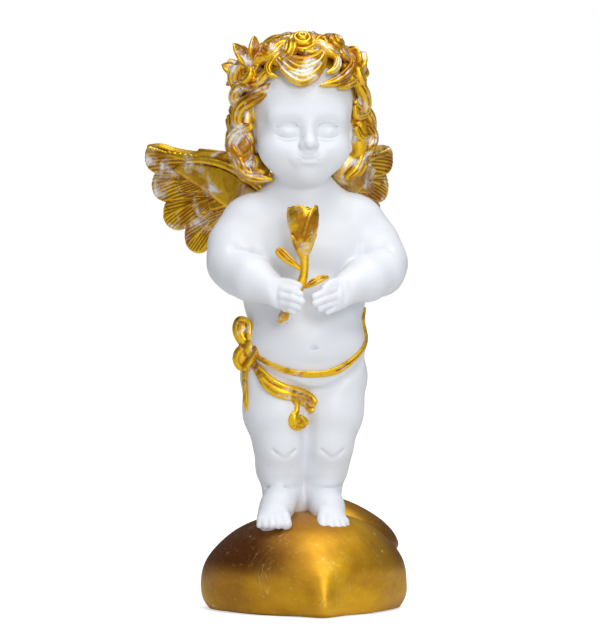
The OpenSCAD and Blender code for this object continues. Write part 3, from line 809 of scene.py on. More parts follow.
def wing_clay(step):
    clay = Clay((-10, -8, -36), (86, 10, 37), step)
    u, n, v = np.ix_(*clay.axes)
    relief = np.full((clay.n[0], 1, clay.n[2]), -2.0, np.float32)
    for i in range(7):
        root = (38 - 4.4 * i, 18 - 3.9 * i)
        way = 13 - 14.6 * i - 0.15 * i * i
        length, wide = min(42.5, 53.5 - 5 * i), 19 - 0.8 * i
        h = feather_height(u, v, root, way, length, wide, 2.3 - 0.13 * i, 0.3)
        relief = np.maximum(relief, h)
    brow = profile(u, (0, 30, 55, 68, 76, 82, 90), (16, 23, 26, 27.6, 29.6, 31.4, 31))
    relief = np.where(v > brow, np.minimum(relief, (brow - v) * 3), relief)
    for i in range(5):
        root = (36 - 5.6 * i, 14 - 4.8 * i)
        way, length = 1 - 15 * i, 26 - 2.0 * i
        h = feather_height(u, v, root, way, length, 12.5, 3.3 - 0.15 * i, 0.45)
        relief = np.maximum(relief, h)
    for i in range(3):
        root = (27 - 6.0 * i, 8 - 4.6 * i)
        way, length = -12 - 18 * i, 17 - 0.8 * i
        h = feather_height(u, v, root, way, length, 9.5, 3.9 - 0.1 * i, 0.35)
        relief = np.maximum(relief, h)
    # the smooth panel next to the body, under an arched edge
    top = profile(u, PANEL_U, PANEL_TOP)
    low = profile(u, PANEL_U, PANEL_LOW)
    panel = 4.3 * fade((top - v) / 1.6 + 0.3) * fade((v - low) / 7.0 + 0.35)
    panel = panel + 0.5 * fade((v - low) / 14) - 1.6 * fade((u - 40) / 40)
    relief = np.where((v < top) & (v > low - 3), np.maximum(relief, panel), relief)
    bow = 2.4 * np.sin(np.clip(u / 82, 0, 1) * math.pi) - 0.0006 * (u - 20) ** 2 * (u > 20)
    clay.d = ((np.abs(n - bow) - relief) * 0.62).astype(np.float32)
    clay.d = np.maximum(clay.d, -3.0)
    edge = [(-5, 0, 1, 4.4), (6, 0.6, 11, 4.2), (17, 1.4, 17.5, 3.5), (30, 2, 22.2, 3.0)]
    edge += [(43, 2.2, 24.4, 2.6), (55, 1.8, 25.4, 2.5), (65, 0.9, 27, 2.4), (73, -0.3, 29.4, 2.1)]
    edge += [(79, -1.4, 30.0, 1.2)]
    clay.add(lock_form(edge, (0.0, -1.0, 0.35), 2, 0.35, 4, 0.85), 1.2)
    clay.add(egg((-2, 0, 0), (7, 4.5, 9)), 3)
    roll = [(8, -3.6, 9, 1.6), (22, -3.4, 17.2, 1.7), (34, -2.6, 21.4, 1.6), (46, -2.2, 23.2, 1.4)]
    roll += [(55, -2.0, 23.0, 0.9)]
    clay.add(cord_form(roll), 1.0)
    behind = [
        (10, 3.2, 15.0, 1.4), (28, 4.8, 24.0, 1.5), (42, 4.6, 26.4, 1.5), (52.5, 3.4, 28.0, 1.0)
    ]
    clay.add(lock_form(behind, (0, 1, 0.4), 2, 0.3, 4, 0.9), 1.0)
    return clay


WING_ROOT = (7, 13, 172)
SWEEP = {-1: 52, 1: 55}  # how far each wing is swept back, degrees


def place_wing(points, s):
    a = math.radians(SWEEP[s])
    x = points[:, 0] * math.cos(a) - points[:, 1] * math.sin(a)
    y = points[:, 0] * math.sin(a) + points[:, 1] * math.cos(a)
    out, back, up = WING_ROOT
    return np.stack([s * (x + out), y + back, points[:, 2] + up], axis=1)


def sculpt_wings(material, step):
    clay = wing_clay(step)
    points, quads = polygons(clay)
    normals = clay.slope(points)
    relief = clay.at(points, clay.raised())
    for s, name in zip(SIDES, ("right_wing", "left_wing")):
        faces = quads[:, ::-1] if s < 0 else quads
        way = place_wing(normals, s) - place_wing(np.zeros((1, 3)), s)
        obj = make_mesh(name, place_wing(points, s), faces, material, way, {"relief": relief})
        finish_piece(obj, name)


# ------------------------------------------------------------------ hair
SKULL = np.array((-1.5, 1.5, 220.5))
SKULL_R = np.array((21.5, 22.6, 23.2))


def skull_out(p):
    """Outward direction from the skull at a place."""
    g = (np.asarray(p)[:3] - SKULL) / SKULL_R**2
    return g / np.linalg.norm(g)


def on_skull(azimuth, height, lift):
    """Place over the skull: degrees from the face to the figure's left, height 0-90."""
    a, e = math.radians(azimuth), math.radians(height)
    d = np.array([math.sin(a) * math.cos(e), -math.cos(a) * math.cos(e), math.sin(e)])
    return SKULL + d * (SKULL_R + lift)


def tangent(place):
    """Outward, sideways and upward directions on the skull."""
    n = skull_out(place)
    side = np.cross(n, (0.0, 0.0, 1.0))
    side = side / max(np.linalg.norm(side), 1e-6)
    return n, side, np.cross(side, n)


def comma(place, size, spin, turns=1.15, width=2.6, rise=1.6, hand=1):
    """A curl lying on the skull: it winds in from its tail to its eye."""
    n, side, up = tangent(place)
    rows = []
    count = 9
    for i in range(count):
        t = i / (count - 1)
        a = math.radians(spin) + hand * turns * 2 * math.pi * t
        r = size * (1 - 0.80 * t)
        p = place + side * r * math.cos(a) + up * r * math.sin(a)
        p = p + n * (rise * math.sin(t * math.pi * 0.5) - 0.024 * r * r)
        w = width * (0.55 + 0.6 * math.sin(math.pi * min(1.0, t * 1.1 + 0.12))) * (1 - 0.2 * t)
        rows.append((*p, max(w, 0.8)))
    return rows


def flame(place, length, spin, width=3.0, rise=1.8, hand=1, bend=0.34):
    """A pointed lock lying on the skull in an S, its tip curling off."""
    n, side, up = tangent(place)
    a = math.radians(spin)
    along = side * math.cos(a) + up * math.sin(a)
    across = np.cross(n, along)
    rows = []
    for i in range(8):
        t = i / 7
        x = (t - 0.5) * length
        y = hand * bend * length * 0.5 * math.sin(2 * math.pi * (t - 0.08)) * (0.6 + 0.9 * t)
        p = place + along * x + across * y
        p = p + n * (
            rise * math.sin(math.pi * (0.15 + 0.75 * t)) - 0.024 * (x * x + y * y) + 1.2 * t * t
        )
        w = width * math.sin(math.pi * (0.16 + 0.80 * t)) ** 0.7
        rows.append((*p, max(w, 0.6)))
    return rows


def add_locks(clay, locks, ribs=3, groove=0.5, k=0.5, flat=0.7, out=skull_out):
    for rows in locks:
        clay.add(lock_form(rows, out, ribs, groove, 3, flat), k)


def hair_clay(name, step, pad=2.5):
    lo, hi = box_mm(name)
    return Clay(lo - pad - 2, hi + pad + 2, step)


def below_hairline(p):
    """Under 0 where the forehead and face stay bare."""
    return soft_max(p[1] + 4.0 + 0 * p[2], p[2] - 230.5 + 0.22 * (p[1] + 4.0), 3.0)


def sculpt_crown(material, step):
    clay = hair_clay("crown_curls", step, 5)
    clay.add(egg(SKULL + (-0.3, 1.4, 0.8), SKULL_R + (3.0, 2.4, 1.6)))
    bare = Form((-60, -60, 100), (60, 60, 260), below_hairline)
    clay.d = soft_max(clay.d, -bare(np.ix_(*clay.axes)), 2.0)
    rng = random.Random(11)
    locks = []
    # hairline: pointed locks swept to both sides of the forelock
    for i in range(8):
        az = (-88, -66, -46, -26, 24, 44, 64, 86)[i]
        high = 41 + 5 * math.cos(math.radians(az)) + rng.uniform(-2, 2)
        spin = (150 if az < 0 else 30) + rng.uniform(-25, 25)
        locks.append(flame(on_skull(az, high, 4.2), 15, spin, 3.3, 2.2, -1 if az < 0 else 1))
        low = high - 15 + rng.uniform(-2, 2)
        if abs(az) > 60:
            locks.append(
                comma(
                    on_skull(az, low, 4.0), 6.6, rng.uniform(0, 360), 1.1, 3.1, 2.2,
                    1 if az < 0 else -1
                )
            )
    for ring, (height, count, lift) in enumerate(((57, 10, 3.4), (76, 5, 2.6))):
        for i in range(count):
            az = 360 * i / count + 20 * ring
            spin = rng.uniform(0, 360)
            place = on_skull(az, height + rng.uniform(-3, 3), lift)
            if i % 2:
                locks.append(flame(place, 14, spin, 3.2, 2.0, rng.choice((-1, 1))))
            else:
                locks.append(
                    comma(place, rng.uniform(6.2, 7.4), spin, 1.15, 3.2, 2.2, rng.choice((-1, 1)))
                )
    # back of the head down to the nape
    for row, (height, count) in enumerate(((36, 7), (14, 7), (-6, 6))):
        for i in range(count):
            az = 102 + 156 * (i + 0.35 * (row % 2)) / (count - 0.6)
            place = on_skull(az, height + rng.uniform(-4, 4), 2.6)
            spin = rng.uniform(0, 360)
            if (i + row) % 2:
                locks.append(
                    flame(place, 15, 250 + rng.uniform(-50, 50), 3.4, 2.0, rng.choice((-1, 1)))
                )
            else:
                locks.append(
                    comma(place, rng.uniform(6.6, 7.6), spin, 1.2, 3.3, 2.2, rng.choice((-1, 1)))
                )
    add_locks(clay, locks)
    cast("crown_curls", clay, material)


FORELOCK_OUTER = (
    (-16.0, -18.2, 236.2), (-12.0, -21.8, 230.2), (-6.6, -24.4, 227.0), (-0.6, -24.0, 229.6),
    (3.4, -21.2, 234.6), (5.2, -18.2, 240.2),
)
FORELOCK_INNER = (
    (-12.6, -18.6, 239.6), (-9.0, -21.0, 237.4), (-5.0, -22.4, 236.6), (-1.2, -22.2, 237.2),
    (2.2, -20.6, 239.0), (4.6, -17.6, 241.6),
)
SWEPT_LOCKS = (  # x, y, z, half width
    [(19.6, -9.5, 238.0, 1.6), (16.4, -15.0, 232.6, 2.8), (10.4, -20.4, 228.0, 2.7),
     (2.0, -24.2, 225.6, 0.7)],
    [(21.6, -8.5, 233.0, 1.5), (19.2, -13.6, 228.6, 2.1), (15.0, -18.2, 226.0, 1.9),
     (10.4, -21.2, 224.6, 0.6)],
    [(8.0, -17.6, 240.6, 1.2), (10.4, -19.2, 236.6, 2.0), (9.0, -21.2, 232.8, 2.0),
     (5.2, -23.2, 231.0, 0.8)],
    [(-16.5, -15.6, 238.0, 1.4), (-19.0, -15.0, 234.0, 2.0), (-18.6, -16.2, 230.6, 1.6),
     (-15.8, -18.6, 229.4, 0.6)],
)


def sculpt_forelock(material, step):
    clay = hair_clay("forelock", step, 6)
    for i in range(6):
        t = i / 5
        rows = np.array(FORELOCK_OUTER) * (1 - t) + np.array(FORELOCK_INNER) * t
        wobble = 0.5 * math.sin(2.4 * i)
        wide = np.array((0.9, 1.6, 1.9, 1.8, 1.5, 1.1)) * (1.08 - 0.16 * t)
        rows = np.concatenate([rows + (wobble, -0.25 * (i % 2), 0.2 * wobble), wide[:, None]], 1)
        clay.add(lock_form(rows, skull_out, 2, 0.35, 4, 0.8), 0.35)
    for rows in SWEPT_LOCKS:
        clay.add(lock_form(rows, skull_out, 3, 0.5, 4, 0.72), 0.4)
    cast("forelock", clay, material)


SIDE_CURLS = {  # each lock at the right and left ear: x, y, z, half width
    -1: [
        [(-15, -15.5, 226.5, 1.0), (-19.5, -12.5, 223.5, 2.3), (-24.5, -9, 220.5, 2.6),
         (-29.0, -5, 216.5, 2.5), (-29.5, -2, 210.5, 2.2), (-26.0, -3, 205.6, 2.0),
         (-24.0, -4, 201.8, 1.3)],
        [(-23, -10, 224, 1.6), (-28.5, -5, 226, 2.3), (-31.0, -1, 221, 2.3), (-28.5, -3, 216, 1.8)],
        [(-25, -6, 208.5, 1.4), (-30.0, -1.5, 206, 2.2), (-32.0, 1, 200.5, 2.5),
         (-28.8, -0.5, 195.6, 2.4), (-24.6, -2.5, 197.5, 1.9), (-24.5, -3, 201.0, 1.2)],
        [(-20, -10, 236.5, 1.6), (-26.5, -7, 237.5, 2.5), (-31.0, -3, 233.5, 2.5),
         (-31.0, -1, 227.5, 2.2), (-27.0, -4, 225.0, 1.6)],
        [(-31, 0, 199, 1.4), (-28.5, -1, 193.0, 2.3), (-25.5, -1, 188.6, 2.4),
         (-20.5, -2.5, 186.6, 1.8), (-15.5, -4, 186.0, 0.8)],
        [(-27, 2, 212, 2.2), (-31, 4, 205, 2.6), (-29, 6, 196, 2.6), (-23, 7, 190, 2.0)],
        [(-26, -1.5, 192, 1.2), (-22.6, -4, 194.4, 1.6), (-22.6, -4, 190.5, 1.4),
         (-19, -4.5, 189, 0.8)],
    ],
    1: [
        [(19, -12.5, 229, 1.2), (22.5, -9, 226, 2.2), (25.4, -5, 221, 2.5), (25.6, -3, 215.5, 2.2),
         (21.5, -6.5, 213.6, 1.6), (20.5, -8, 217.2, 1.0)],
        [(21, -6, 219.6, 1.2), (25.6, -2, 216.5, 2.2), (29.0, 1, 212.0, 2.4), (28.6, 2, 206.6, 2.4),
         (24.0, -2, 204.6, 1.9), (21.6, -4.5, 208.0, 1.2)],
        [(22.5, -3, 210.5, 1.0), (27.5, 0, 209.5, 1.8), (30.5, 2.5, 204.5, 2.3),
         (28.2, 2, 199.6, 2.3), (23.8, -1, 197.6, 1.6)],
        [(25, 0, 201, 1.2), (24.6, 0, 195.4, 2.2), (22.0, -1, 190.4, 2.3),
         (18.5, -1.5, 187.0, 1.4)],
        [(23, 3, 214, 2.2), (27, 5, 206, 2.6), (25.5, 6, 197, 2.6), (20, 7, 190, 2.0)],
    ],
}


def sculpt_side_curls(material, step, s):
    name = "right_side_curls" if s < 0 else "left_side_curls"
    clay = hair_clay(name, step, 4)
    out = (s * 0.8, -0.6, 0.0)
    middle = (-26.2, 4.0, 207.0) if s < 0 else (23.4, 4.0, 208.0)
    clay.add(egg(middle, (6.2, 8.2, 21.5) if s < 0 else (5.6, 8.0, 20.5)))
    clay.add(egg((s * 19.5 - 1.5, 4.0, 192.0), (6.5, 6.0, 8.5)), 3)
    for rows in SIDE_CURLS[s]:
        rows = [(*row[:3], row[3] * 1.36) for row in rows]
        clay.add(lock_form(rows, out, 3, 0.5, 4, 0.8), 0.4)
    rng = random.Random(21 + s)
    for i in range(7):  # the curls behind the ear, seen from the side
        z = 224 - 5.4 * i
        place = np.array((middle[0] + s * 3.4 * math.cos(0.45 * (i - 3)), 5.5 + 3.2 * (i % 2), z))
        rows = comma(place, 5.4, rng.uniform(0, 360), 1.1, 2.7, 1.6, rng.choice((-1, 1)))
        clay.add(lock_form(rows, (s, 0.1, 0), 3, 0.45, 3, 0.75), 0.4)
    cast(name, clay, material)


def sculpt_nape(material, step):
    clay = hair_clay("nape_curls", step, 4)
    clay.add(egg((-1.5, 11.5, 208), (20.5, 12.5, 13)))
    clay.add(egg((-1.5, 11, 196), (16.5, 9.5, 8)), 4)
    rng = random.Random(4)
    locks = []
    for row in range(3):
        for i in range(5 - row):
            az = 118 + 124 * (i + 0.5 * row) / 4
            locks.append(
                comma(on_skull(az, -18 - 17 * row, 1.0 - 0.8 * row), rng.uniform(5.4, 6.6),
                      rng.uniform(0, 360), 1.1, rng.uniform(2.3, 2.8), 1.8, rng.choice((-1, 1)))
            )
    add_locks(clay, locks)
    cast("nape_curls", clay, material)


def rosette(clay, centre, size, tilt):
    """A small rose: wrapped petals round an eye."""
    c = np.asarray(centre, float)
    n = skull_out(c) + np.array(tilt)
    n = n / np.linalg.norm(n)
    side = np.cross(n, (0.0, 1.0, 0.2))
    side = side / np.linalg.norm(side)
    up = np.cross(n, side)
    clay.add(egg(c, (size * 0.62,) * 3))
    for ring in range(3):
        count = (3, 4, 5)[ring]
        r = size * (0.22, 0.5, 0.8)[ring]
        for i in range(count):
            a0 = 2 * math.pi * (i / count + 0.13 * ring)
            rows = []
            for k in range(5):
                a = a0 + 2 * math.pi / count * (k / 4 - 0.5) * 1.5
                lift = size * (0.62, 0.42, 0.1)[ring] - 0.12 * (k - 2) ** 2 * 0.6
                rr = r * (1 + 0.10 * (k == 4))
                p = c + (side * math.cos(a) + up * math.sin(a)) * rr + n * lift
                rows.append((*p, size * 0.17))
            clay.add(lock_form(rows, n, 1, 0.0, 3, 1.6), 0.25)


def sculpt_roses(material, step):
    spots = {
        "right_rose": ((0.1, -0.1, 0), 6.0), "middle_rose": ((0, -0.3, 0.1), 6.4),
        "left_rose": ((0.1, -0.2, 0), 6.2)
    }
    for name, (tilt, size) in spots.items():
        lo, hi = box_mm(name)
        clay = Clay(lo - 3.5, hi + 3.5, step)
        rosette(clay, (lo + hi) / 2 + (0, 0.4, -0.4), size, tilt)
        cast(name, clay, material)


def leaf_form(root, way, length, wide, up):
    """A pointed leaf with a rib, curling up at its tip."""
    way, up = np.asarray(way, float), np.asarray(up, float)
    way = way / np.linalg.norm(way)
    rows = []
    for i in range(6):
        t = i / 5
        p = np.asarray(root, float) + way * length * t + up * 0.16 * length * t * t
        rows.append((*p, 0.35 + wide * 0.5 * math.sin(math.pi * min(1, t * 0.92 + 0.08)) ** 0.8))
    return lock_form(rows, up, 2, 0.3, 3, 0.38)


def sculpt_sprigs(material, step):
    for s, name in zip(SIDES, ("right_sprig", "left_sprig")):
        clay = hair_clay(name, step, 3)
        x = -25.0 if s < 0 else 20.5
        twig = [
            (x - s * 5, -11.5, 238, 2.4), (x + s * 0.8, -6, 236.0, 4.2),
            (x + s * 3.2, 3, 232.0, 3.8)
        ]
        clay.add(cord_form(twig))
        for i in range(6):
            root = (x + s * (-1.8 + 0.9 * i), -8.5 + 2.6 * i, 236.6 - 1.3 * i)
            a, e = math.radians(4 + 12 * i), math.radians((72, 34, 58, 4, 28, -22)[i])
            way = (s * math.cos(a) * math.cos(e), math.sin(a) * math.cos(e) - 0.3, math.sin(e))
            up = (-s * math.sin(e), -0.8, math.cos(e))
            length = (11.0, 12.5, 10.0, 11.5, 9.5, 9.0)[i] * (1 if s < 0 else 0.62)
            clay.add(leaf_form(root, way, length, 9.6, up), 0.3)
        for i in range(4):
            place = np.array((x + s * (0.6 + 0.8 * i), -9 + 4.2 * i, 231.5 - 1.5 * i))
            rows = comma(place, 5.4, 120 + 70 * i, 1.1, 2.9, 1.8, s)
            clay.add(lock_form(rows, skull_out, 3, 0.45, 3, 0.75), 0.4)
        cast(name, clay, material)


# ------------------------------------------------------------------ rose
ROSE = np.array((-7.2, -31.2, 0.0))
STEM = (  # place against ROSE, radius
    ((0.5, 0, 155.5), 2.5), ((0.8, -0.4, 150.5), 1.9), ((0.5, -0.4, 145.5), 1.8),
    ((-0.8, 0, 141), 2.1), ((-4.2, 1.6, 134), 1.9), ((-7.2, 4.2, 128.4), 1.8),
    ((-8.6, 6.2, 125.2), 1.0),
)


def sculpt_rose(material, step):
    foot = ROSE + (0.4, 0, 153)
    bloom = Clay(foot + (-9, -9, -3), foot + (9, 9, 25), step)
    x, y, z = np.ix_(*bloom.axes)
    px, py, h = x - foot[0], y - foot[1], z - foot[2]
    r = np.sqrt(px**2 + py**2)
    a = np.arctan2(py, px)
    shape = profile(
        np.clip(h, -2, 24), (-2, 0, 4, 9, 13, 17, 20.5, 24),
        (1.2, 2.1, 3.6, 5.4, 6.4, 6.7, 6.3, 5.8)
    )
    wall = np.abs(r - shape + 0.8) - 0.8
    top = h - 20.6 - 0.9 * np.cos(3 * a + 0.6) - 0.35 * np.cos(7 * a)
    outer = soft_max(wall, top, 0.7)
    fill = soft_max(r - shape + 0.6, h - 15.5, 2.0)
    bloom.d = soft_min(outer, fill, 0.8).astype(np.float32)
    swirl = (a + 1.9) / (2 * math.pi) * 2.4
    inner = np.abs(np.mod(r - swirl, 2.4) - 1.2) - 0.55
    inner = soft_max(soft_max(inner, r - 4.6, 0.4), h - 21.6 + 0.35 * r, 0.5)
    inner = np.maximum(inner, 12 - h)
    bloom.d = soft_min(bloom.d, inner, 0.4)
    for i in range(3):
        b = 2 * math.pi * (i / 3) - 1.75
        edge = []
        for t in range(6):
            q = t / 5
            bb = b + 0.9 * q
            hh = 2.5 + 18.0 * math.sin(math.pi * (0.12 + 0.42 * q))
            rr = np.interp(hh, (0, 4, 9, 13, 17, 20.5), (2.1, 3.6, 5.4, 6.4, 6.7, 6.3)) + 0.05
            edge.append((*(foot + (rr * math.cos(bb), rr * math.sin(bb), hh)), 0.55))
        bloom.add(cord_form(edge), 0.9)
    for i in range(4):
        b = math.pi / 2 * i + 0.35
        d = np.array((math.cos(b), math.sin(b), 0))
        rows = [(*(foot + d * 1.6 + (0, 0, 0.6)), 1.2), (*(foot + d * 3.2 + (0, 0, 3.6)), 1.7)]
        rows += [(*(foot + d * 4.9 + (0, 0, 7.0)), 1.3), (*(foot + d * 6.3 + (0, 0, 9.0)), 0.5)]
        bloom.add(lock_form(rows, d, 1, 0, 4, 0.5), 1.0)
    cast("rose_bloom", bloom, material)
    stem = block("rose_stem", step, 2)
    stem.add(cord_form([(*(ROSE + p), r) for p, r in STEM]))
    stem.add(egg(ROSE + (-7.2, 4.4, 127.6), (2.2, 1.8, 2.2)), 0.8)
    cast("rose_stem", stem, material)
    leaves = {
        "rose_upper_leaf": (
            [
                ((0.0, 0.2, 147.0), 0.8), ((-3.0, 0.4, 149.2), 1.5), ((-6.0, 0.8, 151.6), 2.2),
                ((-8.8, 1.0, 154.0), 2.7), ((-10.2, 1.2, 155.4), 1.9)
            ],
            (0.2, -0.9, 0.4)
        ),
        "rose_lower_leaf": (
            [
                ((1.0, -0.6, 139.8), 1.0), ((3.6, -2.6, 141.6), 1.9), ((7.0, -2.6, 143.4), 2.0),
                ((10.6, -1.2, 144.2), 1.0)
            ],
            (0.0, -0.8, 0.6)
        ),
    }
    for name, (rows, face) in leaves.items():
        clay = block(name, step, 3)
        clay.add(lock_form([(*(ROSE + p), r) for p, r in rows], face, 3, 0.6, 4, 0.6))
        cast(name, clay, material)


# ------------------------------------------------------------------ sash
BOW_LOOPS = (  # x, y, z, half width
    [(-26, -9, 114.5, 1.6), (-29.2, -7.5, 117.0, 2.3), (-31.0, -6, 121.5, 2.2),
     (-29.8, -6, 125.4, 1.9), (-26.6, -7.6, 124.6, 1.6), (-26.4, -8.8, 120.6, 1.5),
     (-26.4, -9, 116, 1.4)],
    [(-26, -9, 112.5, 1.5), (-29.4, -8, 112.6, 2.4), (-30.8, -7, 109.0, 2.5),
     (-29.4, -7.4, 105.6, 2.0), (-26.8, -8.8, 107.5, 1.7), (-26.0, -9.4, 110.6, 1.4)],
    [(-24.0, -12, 116.5, 1.0), (-23.6, -13, 112.6, 1.6), (-25.6, -11.6, 108.5, 1.5),
     (-28.0, -9.6, 104.6, 1.3)],
)


def band_height(a):
    """Height of the band round the hips, `a` radians from the front to the left."""
    slope = np.minimum(1.0, (np.abs(np.sin(a / 2)) / 0.7071) ** 2.2)
    return 102.5 + 17 * slope + 9.5 * np.maximum(0, np.sin(a)) ** 4


def lay_on(skin, rows, lift):
    """Rows of x, z, size become x, y, z, size, with y just over the figure's front."""
    y = np.arange(-30.0, 4.0, 0.25)
    out = []
    for x, z, size in rows:
        line = np.stack([np.full_like(y, x), y, np.full_like(y, z)], 1)
        hit = np.argmax(skin.at(line) < 0)
        out.append((x, y[hit] - lift, z, size))
    return out


def hug(skin, clay, raise_by, sink=1.0):
    """Keeps clay to a layer over the figure's skin."""
    grid = np.stack(np.meshgrid(*clay.axes, indexing="ij"), -1).reshape(-1, 3)
    under = skin.at(grid).reshape(clay.d.shape)
    clay.d = soft_max(clay.d, (under - raise_by), 0.5).astype(np.float32)
    clay.d = np.maximum(clay.d, (-sink - under).astype(np.float32))


def sculpt_sash(material, step):
    skin = join_fields(step * 1.3, (-34, -28, 74), (33, 25, 132))[1]
    band = block("sash_band", step, 2.5)
    x, y, z = np.ix_(*band.axes)
    a = np.arctan2((x - BODY_X) / 27.4, -(y + 1.4) / 22.4)
    middle = band_height(a)
    split = 1.15 * fade((np.sin(a) - 0.15) / 0.35)
    one = np.abs(z - middle - split) - (1.35 - 0.45 * split)
    two = np.abs(z - middle + split) - (1.35 - 0.45 * split)
    band.d = np.minimum(one, two).astype(np.float32) + 0 * x
    hug(skin, band, 0.95)
    cast("sash_band", band, material)
    bow = block("sash_bow", step, 3)
    bow.add(egg((-25.4, -8.8, 113.4), (3.2, 3.2, 3.8)))
    out = (-0.6, -0.8, 0)
    for rows in BOW_LOOPS:
        bow.add(lock_form(rows, out, 2, 0.2, 4, 0.7), 0.8)
    bow.add(egg((-28.8, -7.0, 120.6), (2.4, 1.5, 4.4)), 0.6)
    bow.add(egg((-28.6, -7.8, 109.4), (2.4, 1.6, 3.2)), 0.6)
    cast("sash_bow", bow, material)
    tail = block("sash_front_tail", step, 4)
    ribbon = [(-24.6, 110.5, 1.4), (-23.4, 106.5, 1.7), (-21.4, 102.0, 2.3), (-18.4, 98.0, 2.9)]
    ribbon += [(-14.2, 95.4, 3.1), (-9.6, 94.2, 3.0), (-5.0, 93.4, 2.5), (-1.0, 91.8, 2.2)]
    ribbon += [(1.0, 89.4, 2.0), (-0.8, 87.2, 1.5)]
    tail.add(lock_form(lay_on(skin, ribbon, 0.4), (0, -1, 0.1), 2, 0.18, 4, 0.5))
    hem = [(-22.6, 105.5, 1.1), (-18.0, 100.6, 1.2), (-12.0, 97.4, 1.2), (-6.0, 96.0, 1.1)]
    hem += [(-0.6, 93.6, 1.1), (1.8, 90.6, 0.9)]
    tail.add(cord_form(lay_on(skin, hem, 0.9)), 0.7)
    fork = [(-8.0, 91.6, 1.2), (-6.6, 89.4, 1.3), (-6.8, 86.6, 1.4), (-8.0, 84.0, 2.4)]
    fork += [(-7.4, 81.6, 2.9), (-4.2, 81.0, 2.4), (-2.4, 82.4, 1.4)]
    tail.add(lock_form(lay_on(skin, fork, 0.4), (0, -1, 0), 2, 0.15, 4, 0.6), 0.5)
    blob = lay_on(skin, [(-5.4, 82.6, 1.0)], 0.3)[0]
    tail.add(egg(blob[:3], (4.3, 1.7, 2.6), turn("Y", 15)), 0.8)
    curl = [(-6.6, 90.8, 1.2), (-4.0, 90.2, 1.2), (-1.4, 88.4, 1.3), (0.6, 86.8, 1.6)]
    tail.add(lock_form(lay_on(skin, curl, 0.5), (0, -1, 0), 2, 0.15, 4, 0.6), 0.5)
    hug(skin, tail, 3.2)
    cast("sash_front_tail", tail, material)
    side = block("sash_side_tail", step, 3)
    side.add(
        lock_form(
            [
                (-27.5, -8.5, 109.5, 1.8), (-28.4, -7.5, 103, 2.1), (-28.2, -7, 96, 1.9),
                (-27.2, -6.6, 90, 1.6), (-25.6, -6.2, 84.6, 1.0)
            ],
            (-1, -0.3, 0), 2, 0.4, 4, 0.8
        )
    )
    hug(skin, side, 1.5)
    cast("sash_side_tail", side, material)


# ------------------------------------------------------------------ finishes
class Bench:
    """Short calls for building a node tree."""

    def __init__(self, tree):
        self.tree, self.nodes, self.links = tree, tree.nodes, tree.links

    def add(self, kind, _values=None, **props):
        node = self.nodes.new(kind)
        for key, value in props.items():
            setattr(node, key, value)
        for key, value in (_values or {}).items():
            if isinstance(value, bpy.types.NodeSocket):
                self.links.new(value, node.inputs[key])
            else:
                node.inputs[key].default_value = value
        return node

    def noise(self, vector, scale, detail=3.0, rough=0.5, distortion=0.0):
        values = {
            "Vector": vector, "Scale": scale, "Detail": detail, "Roughness": rough,
            "Distortion": distortion
        }
        return self.add("ShaderNodeTexNoise", values).outputs["Fac"]

    def math(self, op, a, b=0.0, c=0.0):
        return self.add("ShaderNodeMath", {0: a, 1: b, 2: c}, operation=op).outputs[0]

    def span(self, value, lo, hi, to_lo=0.0, to_hi=1.0):
        values = {"Value": value, "From Min": lo, "From Max": hi, "To Min": to_lo, "To Max": to_hi}
        return self.add(
            "ShaderNodeMapRange", values, interpolation_type="SMOOTHSTEP"
        ).outputs["Result"]

    def mix(self, factor, a, b):
        node = self.add("ShaderNodeMix", data_type="RGBA")
        for index, value in ((0, factor), (6, a), (7, b)):
            if isinstance(value, bpy.types.NodeSocket):
                self.links.new(value, node.inputs[index])
            else:
                node.inputs[index].default_value = value
        return node.outputs[2]

    def bump(self, height, strength, distance):
        values = {"Height": height, "Strength": strength, "Distance": distance}
        return self.add("ShaderNodeBump", values).outputs["Normal"]


def new_group(name, inputs, outputs):
    tree = bpy.data.node_groups.new(name, "ShaderNodeTree")
    for label, kind, value in inputs:
        socket = tree.interface.new_socket(name=label, in_out="INPUT", socket_type=kind)
        socket.default_value = value
    for label, kind in outputs:
        tree.interface.new_socket(name=label, in_out="OUTPUT", socket_type=kind)
    bench = Bench(tree)
    return tree, bench, bench.add("NodeGroupInput"), bench.add("NodeGroupOutput")


